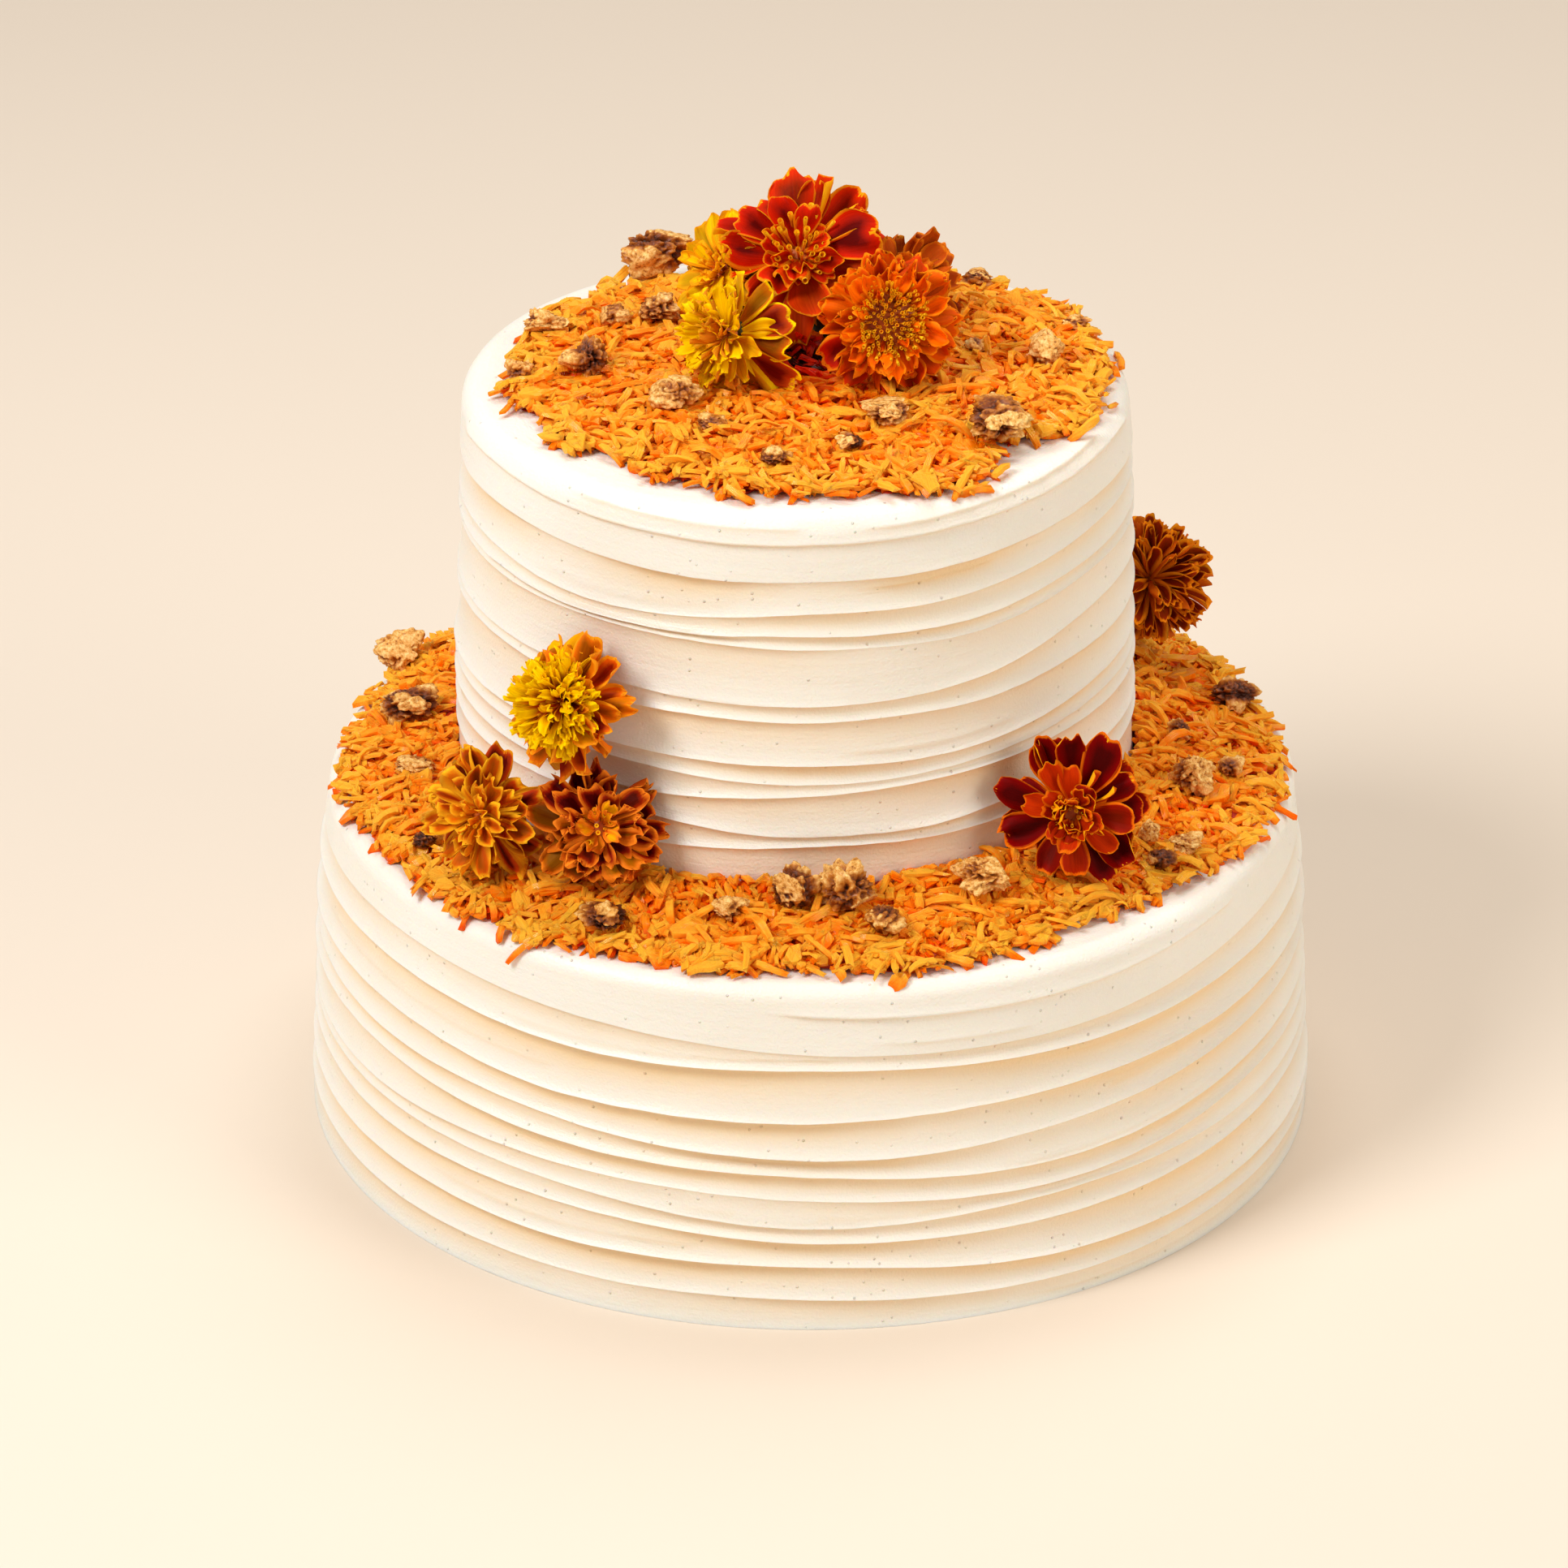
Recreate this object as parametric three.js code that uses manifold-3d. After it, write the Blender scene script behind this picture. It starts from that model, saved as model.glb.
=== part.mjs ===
// A two-tier carrot cake: cream-iced tiers with combed ridges, beds of grated carrot on the top and on the
// ledge, marigold heads and pieces of glazed walnut. Millimetres, +Z up, the front towards -Y. The origin is
// the centre of the lower tier's foot. An azimuth runs from -Y towards +X.
import * as THREE from 'three';
import { mergeVertices } from 'three/addons/utils/BufferGeometryUtils.js';
import Module from 'manifold-3d';

const wasm = await Module();
wasm.setup();

// ---- driving dimensions --------------------------------------------------------------------------------

const GAP = 0.3; // clearance between pieces that touch
const DEGREE = Math.PI / 180;

// Ridges are listed from the foot up: their heights at the azimuths of RIDGE_AZIMUTHS, and how far the lip
// stands out over the groove under it.
const RIDGE_AZIMUTHS = [-60, -30, 0, 30, 60];
const RIDGE_STEP = 30;
const RIDGE_BACK_WAVE = 1.6;
const GROOVE_DROP = 1.5; // a groove lies this far below its ridge, or closer where ridges crowd

const LOWER_TIER = {
  x: 0,
  floor: 0,
  height: 86.4,
  footRadius: 123.1,
  wallTopRadius: 116.7,
  shoulder: 4,
  columns: 38,
  ridges: [
    { heights: [8, 7.8, 8, 6, 7], lip: 0.9 },
    { heights: [16.6, 16.2, 16.5, 12.3, 12], lip: 1.6 },
    { heights: [24.8, 25, 22.7, 22, 23.5], lip: 1.4 },
    { heights: [30.4, 29.8, 26.2, 28.2, 27.6], lip: 1.0 },
    { heights: [33.4, 34.8, 33.2, 30.8, 34], lip: 1.0 },
    { heights: [43, 40.9, 39.5, 36.3, 40], lip: 1.6 },
    { heights: [48.5, 46.3, 43.8, 45.3, 48.5], lip: 1.4 },
    { heights: [56, 53, 53.5, 54.8, 55.7], lip: 1.8 },
    { heights: [67.8, 65.4, 66.5, 64.7, 65], lip: 1.8 },
    { heights: [76, 73.8, 70.3, 69, 72.5], lip: 0.8 },
  ],
};

const UPPER_TIER = {
  x: -3.9,
  floor: LOWER_TIER.height + GAP,
  height: 100.6 - GAP,
  footRadius: 82,
  wallTopRadius: 78.6,
  shoulder: 5,
  columns: 34,
  ridges: [
    { heights: [16, 16, 18, 17.8, 19], lip: 1.0 },
    { heights: [23, 23.6, 20.6, 21.4, 24], lip: 1.0 },
    { heights: [28, 28.6, 31, 32.4, 33.4], lip: 1.1 },
    { heights: [33, 35.4, 33.8, 34.6, 37], lip: 0.8 },
    { heights: [37, 39, 38.8, 38.2, 42], lip: 1.3 },
    { heights: [52.5, 50.5, 49.8, 49.5, 51.5], lip: 1.2 },
    { heights: [55, 54.7, 53.6, 55, 61], lip: 0.9 },
    { heights: [69, 69, 67.8, 66.8, 70], lip: 0.7 },
    { heights: [72.5, 71, 71.5, 70.6, 74], lip: 1.2 },
    { heights: [78.5, 76.3, 78, 78, 82], lip: 0.9 },
    { heights: [88, 86.4, 85.8, 86.9, 89], lip: 1.2 },
  ],
};

// The carrot beds: the outline's mean radius and unevenness, and the heap's height inside and at its edge.
const TOP_BED = {
  x: -0.8,
  floor: UPPER_TIER.floor + UPPER_TIER.height + GAP,
  radius: 68.4,
  unevenness: 2.4,
  innerHeight: 4.2,
  edgeHeight: 1.3,
  columns: 28,
  shreds: 42,
};
const LEDGE_BED = {
  x: 0,
  floor: LOWER_TIER.height + GAP,
  wallRadius: UPPER_TIER.footRadius + 1.1,
  radius: 112,
  unevenness: 1.4,
  frontWallHeight: 8.8,
  backWallHeight: 6.6,
  edgeHeight: 1.3,
  columns: 40,
  shreds: 46,
};
const SHRED = { length: [8, 16], width: [1.5, 2.3], thickness: [1.0, 1.3], bow: 1.1, tilt: 13, poke: 0.35 };

// Marigold heads: centre of the ring of petals, azimuth and elevation that the face looks to, radius, and
// where the stem under the calyx goes in, if the calyx itself doesn't touch.
const MARIGOLDS = [
  { centre: [-2, 14, 213], azimuth: 0, elevation: 47, radius: 20.5, foot: [-3, 20, 192] },
  { centre: [-18, -16, 205.5], azimuth: -65, elevation: 10, radius: 15.3, foot: [-9, -9, 192] },
  { centre: [17.6, -16, 208.4], azimuth: 10, elevation: 20, radius: 17.8, foot: [14, -5, 192] },
  { centre: [-21, 18, 206.5], azimuth: -60, elevation: 35, radius: 14.5, foot: [-14, 22, 192] },
  { centre: [22, 14, 205.6], azimuth: 30, elevation: 50, radius: 15, foot: [18, 20, 192] },
  { centre: [-56.5, -75.4, 139], azimuth: -38, elevation: 12, radius: 17.4, foot: [-49, -67, 135] },
  { centre: [-76.4, -69, 107], azimuth: -44, elevation: 10, radius: 16, foot: [-66, -58, 95] },
  { centre: [-49, -79.6, 108.8], azimuth: -3, elevation: 28, radius: 16.5, foot: [-48, -71, 96] },
  { centre: [60, -72.6, 110], azimuth: 0, elevation: 12, radius: 18.8, foot: [57, -54, 104] },
  { centre: [86, 46, 113.2], azimuth: 20, elevation: 25, radius: 15.2, foot: [82, 54, 94] },
];
const STEM_RADIUS = 1.7;

// A marigold head's section from the calyx out over three tiers of petals to the heart, as shares of its
// radius, with how deep each ring is scalloped.
const PETAL_COUNT = 8;
const HEAD_SECTION = [
  { radius: 0.16, rise: -0.6, scallop: 0 },
  { radius: 0.25, rise: -0.14, scallop: 0 },
  { radius: 0.6, rise: 0, scallop: 0.05 },
  { radius: 0.94, rise: 0.1, scallop: 0.07 },
  { radius: 0.62, rise: 0.24, scallop: 0 },
  { radius: 0.8, rise: 0.36, scallop: 0.07 },
  { radius: 0.42, rise: 0.42, scallop: 0 },
  { radius: 0.52, rise: 0.56, scallop: 0.05 },
  { radius: 0.22, rise: 0.54, scallop: 0 },
];
const CALYX_RISE = -0.62;
const HEART_RISE = 0.62;

// Walnut pieces on each bed: x, y, width, height.
const TOP_WALNUTS = [
  [-37, 56, 14, 10.5], [-47, 22, 7.5, 5.4], [-37, 22, 11, 5.6], [-64, 19, 10.4, 5.2], [-52, -7, 12.3, 6],
  [-69, -7, 6.6, 4.7], [-31, -28, 12, 6], [-23.5, -40, 7.5, 3], [-9, -58, 8.1, 4.2], [9, -50, 6.2, 3.4],
  [17, -36, 11.9, 4.4], [42, -41, 15.5, 7], [55, -1, 9.4, 7.4], [38, 2, 5.4, 3.8], [63, 23, 6.6, 3],
  [6, 55, 11, 6], [40, 45, 8, 5],
];
const LEDGE_WALNUTS = [
  [-103, 48, 12.6, 7], [-98, 9.5, 12.6, 7], [-95.6, -19, 9.4, 4], [-91, -56, 6.4, 5], [-46.5, -94.5, 13, 5.4],
  [-20, -93.5, 9.4, 4.4], [-4.5, -91.5, 9.6, 7.8], [8, -90.5, 12.5, 12], [16, -99.5, 9.1, 5.2], [39.5, -81, 13, 6],
  [103.5, 22, 11.9, 6.4], [89, -3, 6.6, 4], [90.5, -29.5, 10.8, 8.8], [100, -18, 6.6, 3.2], [79, -55, 5.1, 5.6],
  [87.5, -56, 7.5, 3.2], [81.5, -64, 8, 4], [-84, 60, 9, 5], [-48, 87, 12, 7], [-8, 100, 8, 5],
  [33, 92, 13, 6.5], [66, 76, 9, 5],
];
const LARGE_WALNUT = 10.9; // pieces at least this wide have finer facets
const WALNUT_ROUGHNESS = 0.24;
const SETTLING_STEP = 0.2;

// ---- tools -----------------------------------------------------------------------------------------------

// A repeatable source of numbers from 0 to 1.
function seededRandom(seed) {
  let state = seed;
  return () => {
    state = (state * 1664525 + 1013904223) % 4294967296;
    return state / 4294967296;
  };
}

function mix(from, to, share) {
  return from + (to - from) * share;
}

function smoothStep(share) {
  const t = Math.min(Math.max(share, 0), 1);
  return t * t * (3 - 2 * t);
}

// The point at a radius, azimuth (radians) and height round an upright axis at x.
function around(x, radius, azimuth, z) {
  return [x + radius * Math.sin(azimuth), -radius * Math.cos(azimuth), z];
}

function geometryFrom(points, faces) {
  const geometry = new THREE.BufferGeometry();
  geometry.setAttribute('position', new THREE.Float32BufferAttribute(points.flat(), 3));
  geometry.setIndex(faces);
  return geometry;
}

// The faces between two rings of points, the second above the first.
function bandFaces(faces, lower, upper, columns) {
  for (let column = 0; column < columns; column += 1) {
    const next = (column + 1) % columns;
    faces.push(lower + column, lower + next, upper + next);
    faces.push(lower + column, upper + next, upper + column);
  }
}

// A closed body of rings stacked between a first and a last pole.
function polarBody(firstPole, rings, lastPole) {
  const columns = rings[0].length;
  const points = [firstPole, ...rings.flat(), lastPole];
  const faces = [];
  const lastRing = 1 + (rings.length - 1) * columns;
  for (let column = 0; column < columns; column += 1) {
    const next = (column + 1) % columns;
    faces.push(0, 1 + next, 1 + column);
    faces.push(lastRing + column, lastRing + next, points.length - 1);
  }
  for (let ring = 0; ring + 1 < rings.length; ring += 1) {
    bandFaces(faces, 1 + ring * columns, 1 + (ring + 1) * columns, columns);
  }
  return geometryFrom(points, faces);
}

// A closed body of rings that lead back to the first, round a hole.
function ringBody(rings) {
  const columns = rings[0].length;
  const faces = [];
  for (let ring = 0; ring < rings.length; ring += 1) {
    bandFaces(faces, ring * columns, ((ring + 1) % rings.length) * columns, columns);
  }
  return geometryFrom(rings.flat(), faces);
}

function solidFrom(geometry) {
  const bare = geometry.clone();
  bare.deleteAttribute('normal');
  bare.deleteAttribute('uv');
  const merged = mergeVertices(bare, 1e-4);
  const mesh = new wasm.Mesh({
    numProp: 3,
    vertProperties: new Float32Array(merged.attributes.position.array),
    triVerts: new Uint32Array(merged.index.array),
  });
  return new wasm.Manifold(mesh);
}

function geometryOf(solid) {
  const mesh = solid.getMesh();
  const geometry = new THREE.BufferGeometry();
  geometry.setAttribute('position', new THREE.Float32BufferAttribute(mesh.vertProperties, 3));
  geometry.setIndex(Array.from(mesh.triVerts));
  return geometry;
}

// The largest of the separate bodies that cutting left.
function largestBody(solid) {
  const bodies = solid.decompose();
  bodies.sort((a, b) => b.volume() - a.volume());
  return bodies[0];
}

// ---- tiers -----------------------------------------------------------------------------------------------

// The heights of one ridge at every knot round the tier: as listed in front, blending round the back.
function ridgeKnots(heights) {
  const knots = [...heights];
  const knotCount = 360 / RIDGE_STEP;
  const backSteps = knotCount - heights.length + 1;
  for (let step = 1; step < backSteps; step += 1) {
    const share = step / backSteps;
    const blend = mix(heights[heights.length - 1], heights[0], smoothStep(share));
    knots.push(blend + RIDGE_BACK_WAVE * Math.sin(2 * Math.PI * share) * Math.sin(Math.PI * share));
  }
  return knots;
}

// A smooth curve through the knots, read at an azimuth in radians.
function ridgeHeight(knots, azimuth) {
  const place = (azimuth / DEGREE - RIDGE_AZIMUTHS[0] + 720) / RIDGE_STEP;
  const index = Math.floor(place);
  const t = place - index;
  const [before, start, end, after] = [-1, 0, 1, 2].map((step) => knots[(index + step) % knots.length]);
  const straight = end - start;
  const leaving = (end - before) / 2;
  const arriving = (after - start) / 2;
  const curve = 3 * straight - 2 * leaving - arriving;
  const swing = leaving + arriving - 2 * straight;
  return start + t * (leaving + t * (curve + t * swing));
}

function wallRadius(tier, z) {
  return mix(tier.footRadius, tier.wallTopRadius, z / tier.height);
}

// One iced tier: under each ridge's lip the icing steps back and then swells out to the next lip below.
function tierBody(tier, grow) {
  const azimuths = Array.from({ length: tier.columns }, (_, i) => (2 * Math.PI * i) / tier.columns);
  const ring = (heightAt, radiusAt) =>
    azimuths.map((azimuth) => {
      const z = heightAt(azimuth);
      return around(tier.x, radiusAt(z) + grow, azimuth, tier.floor + z);
    });
  const rings = [ring(() => -grow, () => wallRadius(tier, 0))];
  let knotsBelow = ridgeKnots([0, 0, 0, 0, 0]).map(() => 0);
  for (const ridge of tier.ridges) {
    const knots = ridgeKnots(ridge.heights);
    const below = knotsBelow;
    const grooveAt = (azimuth) => {
      const room = ridgeHeight(knots, azimuth) - ridgeHeight(below, azimuth);
      return ridgeHeight(knots, azimuth) - Math.min(GROOVE_DROP, 0.4 * room);
    };
    rings.push(ring(grooveAt, (z) => wallRadius(tier, z) - 0.4 * ridge.lip));
    rings.push(ring((azimuth) => ridgeHeight(knots, azimuth), (z) => wallRadius(tier, z) + 0.6 * ridge.lip));
    knotsBelow = knots;
  }
  const shoulderRadius = wallRadius(tier, tier.height - tier.shoulder);
  for (const angle of [0, 35, 63, 90].map((degrees) => degrees * DEGREE)) {
    const inset = tier.shoulder * (1 - Math.cos(angle));
    const z = tier.height - tier.shoulder * (1 - Math.sin(angle)) + grow * Math.sin(angle);
    rings.push(ring(() => z, () => shoulderRadius - inset));
  }
  const top = tier.floor + tier.height + grow;
  return solidFrom(polarBody([tier.x, 0, tier.floor - grow], rings, [tier.x, 0, top]));
}

// ---- carrot beds -----------------------------------------------------------------------------------------

// The uneven outline of a bed at an azimuth in radians.
function outlineRadius(bed, azimuth) {
  const waves = Math.sin(3 * azimuth + 1.3) + 0.8 * Math.sin(5 * azimuth - 0.6) + 0.7 * Math.sin(11 * azimuth);
  return bed.radius + (bed.unevenness * waves) / 1.6;
}

// Small humps of a heap, about as large as the shreds.
function humps(x, y) {
  return 0.45 * Math.sin(x / 3.1 + 1.1) * Math.sin(y / 2.9 - 0.7) + 0.35 * Math.sin((x - y) / 5.3);
}

// How far from its middle or wall (0) to its edge (1) a point of a bed lies.
function bedShare(bed, x, y) {
  const azimuth = Math.atan2(x - bed.x, -y);
  const outside = outlineRadius(bed, azimuth);
  const inside = bed.wallRadius ?? 0;
  return (Math.hypot(x - bed.x, y) - inside) / (outside - inside);
}

function bedHeight(bed, x, y) {
  const share = Math.min(Math.max(bedShare(bed, x, y), 0), 1);
  if (bed.wallRadius === undefined) {
    return mix(bed.innerHeight, bed.edgeHeight, share ** 4) + humps(x, y) * (1 - share);
  }
  const front = smoothStep(0.5 - y / 120);
  const atWall = mix(bed.backWallHeight, bed.frontWallHeight, front);
  return mix(atWall, bed.edgeHeight, share ** 0.9) + humps(x, y) * (1 - share);
}

// The heap's core: a low mound on the top, a sloping ring round the wall on the ledge.
function bedCore(bed, grow) {
  const azimuths = Array.from({ length: bed.columns }, (_, i) => (2 * Math.PI * i) / bed.columns);
  const surfaceRing = (share) =>
    azimuths.map((azimuth) => {
      const inside = bed.wallRadius ?? 0;
      const radius = mix(inside, outlineRadius(bed, azimuth) + grow, share);
      const [x, y] = around(bed.x, radius, azimuth, 0);
      return [x, y, bed.floor + bedHeight(bed, x, y) + grow];
    });
  const floorRing = azimuths.map((azimuth) =>
    around(bed.x, outlineRadius(bed, azimuth) + grow - 0.5, azimuth, bed.floor - grow));
  if (bed.wallRadius === undefined) {
    const rings = [floorRing, ...[1, 0.85, 0.66, 0.46, 0.24].map(surfaceRing)];
    const crown = [bed.x, 0, bed.floor + bedHeight(bed, bed.x, 0) + grow];
    return polarBody([bed.x, 0, bed.floor - grow], rings, crown);
  }
  const wallAt = (z, azimuth) => around(UPPER_TIER.x, bed.wallRadius - grow, azimuth, z);
  const wallFoot = azimuths.map((azimuth) => wallAt(bed.floor - grow, azimuth));
  const wallCrown = azimuths.map((azimuth) => {
    const [x, y] = wallAt(0, azimuth);
    return wallAt(bed.floor + bedHeight(bed, x, y) + grow, azimuth);
  });
  return ringBody([wallFoot, floorRing, ...[1, 0.72, 0.4].map(surfaceRing), wallCrown]);
}

// One shred: a bowed strip lying along +X.
function shredGeometry(random) {
  const pick = ([least, most]) => mix(least, most, random());
  const length = pick(SHRED.length);
  const geometry = new THREE.BoxGeometry(length, pick(SHRED.width), pick(SHRED.thickness), 2, 1, 1);
  const bow = SHRED.bow * (random() - 0.3);
  const position = geometry.attributes.position;
  for (let i = 0; i < position.count; i += 1) {
    const along = (2 * position.getX(i)) / length;
    position.setZ(i, position.getZ(i) + bow * (1 - along * along));
  }
  return geometry;
}

// Fuses evenly spread shreds onto the core, and leaves out those that would cross a topping or a tier.
function heapBody(bed, toppings, seed) {
  const random = seededRandom(seed);
  const inside = bed.wallRadius ?? 0;
  const goldenTurn = Math.PI * (3 - Math.sqrt(5));
  let heap = solidFrom(bedCore(bed, 0));
  for (let index = 0; index < bed.shreds; index += 1) {
    const azimuth = index * goldenTurn;
    const outside = outlineRadius(bed, azimuth);
    const area = (index + 0.5) / bed.shreds;
    const radius = Math.sqrt(mix((inside + 3) ** 2, (outside + 1) ** 2, area));
    const [x, y] = around(bed.x, radius, azimuth, 0);
    const shred = shredGeometry(random);
    shred.rotateX((random() - 0.5) * 50 * DEGREE);
    shred.rotateY((random() - 0.5) * 2 * SHRED.tilt * DEGREE);
    shred.rotateZ(random() * Math.PI);
    const lift = bedHeight(bed, x, y) + SHRED.poke;
    shred.computeBoundingBox();
    shred.translate(x, y, bed.floor + Math.max(lift, -shred.boundingBox.min.z));
    const strip = solidFrom(shred);
    const neighbours = [...toppings, grownLowerTier, grownUpperTier];
    const clear = neighbours.every((piece) => strip.intersect(piece).isEmpty());
    if (clear) {
      heap = heap.add(strip);
    }
  }
  return largestBody(heap);
}

// ---- marigolds -------------------------------------------------------------------------------------------

// One head with its calyx and stem. A grown head is what its neighbours keep clear of: it is scaled up by
// more than the gap, so that slanting faces keep it too.
function marigoldBody(flower, grow) {
  const columns = PETAL_COUNT * 2;
  const size = flower.radius + 3 * grow;
  const rings = HEAD_SECTION.map((row) =>
    Array.from({ length: columns }, (_, column) => {
      const petal = 1 + row.scallop * (column % 2 === 0 ? 1 : -1);
      const turn = (2 * Math.PI * column) / columns;
      return around(0, row.radius * petal * size, turn, row.rise * size);
    }));
  const head = polarBody([0, 0, CALYX_RISE * size], rings, [0, 0, HEART_RISE * size]);
  head.rotateX((90 - flower.elevation) * DEGREE);
  head.rotateZ(flower.azimuth * DEGREE);
  head.translate(...flower.centre);
  const facing = new THREE.Vector3(...around(0, Math.cos(flower.elevation * DEGREE), flower.azimuth * DEGREE, 0));
  facing.z = Math.sin(flower.elevation * DEGREE);
  const calyx = new THREE.Vector3(...flower.centre).addScaledVector(facing, 0.5 * CALYX_RISE * size);
  const foot = new THREE.Vector3(...flower.foot);
  const stem = new THREE.CylinderGeometry(STEM_RADIUS + grow, STEM_RADIUS + grow, calyx.distanceTo(foot), 6);
  const upright = new THREE.Vector3(0, 1, 0);
  const along = calyx.clone().sub(foot).normalize();
  stem.applyQuaternion(new THREE.Quaternion().setFromUnitVectors(upright, along));
  stem.translate(...calyx.add(foot).multiplyScalar(0.5));
  return solidFrom(head).add(solidFrom(stem));
}

// ---- walnuts ---------------------------------------------------------------------------------------------

// One piece: a lump with knobs and dents, turned at random.
function walnutGeometry(width, height, random) {
  const rough = width >= LARGE_WALNUT ? new THREE.IcosahedronGeometry(1, 1) : new THREE.DodecahedronGeometry(1, 0);
  rough.deleteAttribute('normal');
  rough.deleteAttribute('uv');
  const lump = mergeVertices(rough, 1e-4);
  const position = lump.attributes.position;
  const depth = width * mix(0.68, 0.95, random());
  for (let i = 0; i < position.count; i += 1) {
    const reach = 1 + WALNUT_ROUGHNESS * (random() - 0.5) * 2;
    const x = (position.getX(i) * reach * width) / 2;
    const y = (position.getY(i) * reach * depth) / 2;
    position.setXYZ(i, x, y, (position.getZ(i) * reach * height) / 2);
  }
  lump.rotateZ((random() - 0.5) * 100 * DEGREE);
  return lump;
}

// Each piece starts sunk into the bed and rises in small steps until it is clear of what lies under it.
function walnutBodies(places, bed, ground, random) {
  return places.map(([x, y, width, height]) => {
    const lump = walnutGeometry(width, height, random);
    lump.translate(x, y, bed.floor + bedHeight(bed, x, y) + 0.2 * height);
    let solid = solidFrom(lump);
    while (ground.some((under) => !under.intersect(solid).isEmpty())) {
      lump.translate(0, 0, SETTLING_STEP);
      solid = solidFrom(lump);
    }
    return solid;
  });
}

// ---- the cake --------------------------------------------------------------------------------------------

const lowerTier = tierBody(LOWER_TIER, 0);
const upperTier = tierBody(UPPER_TIER, 0);

// Shapes grown by the gap: what lies on the cake or leans on it keeps clear of these.
const grownLowerTier = tierBody(LOWER_TIER, GAP);
const grownUpperTier = tierBody(UPPER_TIER, GAP);
const grownTopCore = solidFrom(bedCore(TOP_BED, GAP));
const grownLedgeCore = solidFrom(bedCore(LEDGE_BED, GAP));
const grownGround = [grownLowerTier, grownUpperTier, grownTopCore, grownLedgeCore];

// Each head gives way to the ground and to the heads before it.
const marigolds = [];
MARIGOLDS.forEach((flower, index) => {
  let head = marigoldBody(flower, 0);
  const inTheWay = [...grownGround, ...MARIGOLDS.slice(0, index).map((earlier) => marigoldBody(earlier, GAP))];
  for (const other of inTheWay) {
    head = head.subtract(other);
  }
  marigolds.push(largestBody(head));
});

const walnutRandom = seededRandom(41);
const topWalnuts = walnutBodies(TOP_WALNUTS, TOP_BED, [grownUpperTier, grownTopCore], walnutRandom);
const ledgeWalnuts = walnutBodies(LEDGE_WALNUTS, LEDGE_BED, [grownLowerTier, grownLedgeCore], walnutRandom);

const group = new THREE.Group();

function addPiece(name, solid, color, roughness) {
  const material = new THREE.MeshStandardMaterial({ color, roughness, metalness: 0 });
  const piece = new THREE.Mesh(geometryOf(solid), material);
  piece.name = name;
  group.add(piece);
}

const twoDigits = (number) => String(number).padStart(2, '0');

addPiece('tier_lower', lowerTier, '#f7ead6', 0.55);
addPiece('tier_upper', upperTier, '#f7ead6', 0.55);
addPiece('carrot_top', heapBody(TOP_BED, [...topWalnuts, ...marigolds], 7), '#f08a1c', 0.5);
addPiece('carrot_ledge', heapBody(LEDGE_BED, [...ledgeWalnuts, ...marigolds], 19), '#f08a1c', 0.5);

const MARIGOLD_COLORS = ['#b5300f', '#e0a010', '#c4500c', '#c08010', '#7a1a0c', '#f0b414', '#b8661a', '#8f3a12',
  '#a01408', '#8a4a12'];
marigolds.forEach((head, index) => {
  addPiece(`marigold_${twoDigits(index + 1)}`, head, MARIGOLD_COLORS[index], 0.7);
});
[...topWalnuts, ...ledgeWalnuts].forEach((piece, index) => {
  addPiece(`walnut_${twoDigits(index + 1)}`, piece, '#a9713c', 0.45);
});

export default group;
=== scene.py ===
import math

import bpy
import numpy as np
from mathutils import Matrix, Vector, noise


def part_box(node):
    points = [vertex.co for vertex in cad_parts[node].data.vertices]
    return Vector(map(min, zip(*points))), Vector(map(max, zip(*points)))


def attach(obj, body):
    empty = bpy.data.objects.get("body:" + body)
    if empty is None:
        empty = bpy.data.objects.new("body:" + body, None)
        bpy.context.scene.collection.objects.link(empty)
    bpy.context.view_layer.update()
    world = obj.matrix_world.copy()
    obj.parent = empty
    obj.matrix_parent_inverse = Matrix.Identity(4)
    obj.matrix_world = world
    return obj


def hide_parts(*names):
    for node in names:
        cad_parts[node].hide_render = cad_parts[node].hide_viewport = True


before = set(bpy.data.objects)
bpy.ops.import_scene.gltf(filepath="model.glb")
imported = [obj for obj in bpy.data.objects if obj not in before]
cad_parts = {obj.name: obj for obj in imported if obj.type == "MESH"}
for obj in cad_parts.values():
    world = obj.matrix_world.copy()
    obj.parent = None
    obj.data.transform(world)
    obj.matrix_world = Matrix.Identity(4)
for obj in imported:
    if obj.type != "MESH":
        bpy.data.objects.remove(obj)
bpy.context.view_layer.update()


# ---- The iced tiers ------------------------------------------------------------------------------------
# Two round cakes under a coat of cream icing. A palette knife held against the turning cake leaves long
# shingled ridges: each lip overhangs the band below it a little. Lengths are millimetres, and a piece is
# brought to metres when its mesh is made. An azimuth runs from the front (-Y) towards the right (+X).
MM = 0.001
RIDGE_AZIMUTHS = (-60, -30, 0, 30, 60)
RIDGE_STEP = 30
RIDGE_BACK_WAVE = 1.6  # how far a ridge rises and falls round the back
SLOW_WAVE, FINE_WAVE = 0.08, 0.025  # how unsteady the knife is
LIP_OUT, LIP_BACK = 0.6, -0.4  # shares of a lip's depth: out of the wall at its edge, into it at the next foot
LIP_UNDERSIDE = 2.7  # from the bottom of a groove up to the edge of the lip over it
LIP_BEAD = 0.7  # how high the bead on a lip's edge reaches
LIP_ROWS = (0, 0.2, 0.38, 0.54, 0.68, 0.8, 0.89, 0.955, 1)  # from the groove to the edge of the lip
BAND_ROW_GAP, FEWEST_BAND_ROWS, SHOULDER_ROWS = 0.7, 4, 44
SHORT_LIP_ABOVE, SHORT_LIP_UNDER, SHORT_LIP_SHADE = 1.9, 0.28, 1.1  # how far a short lip fades out, and its painted shade under it
TOP_STROKE = 14  # how far the last stroke runs over the shoulder
TOP_INSETS = [0.8 * step for step in range(1, 16)] + [16, 24, 36, 52, 66]  # rings of the top, in from its rim
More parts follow.
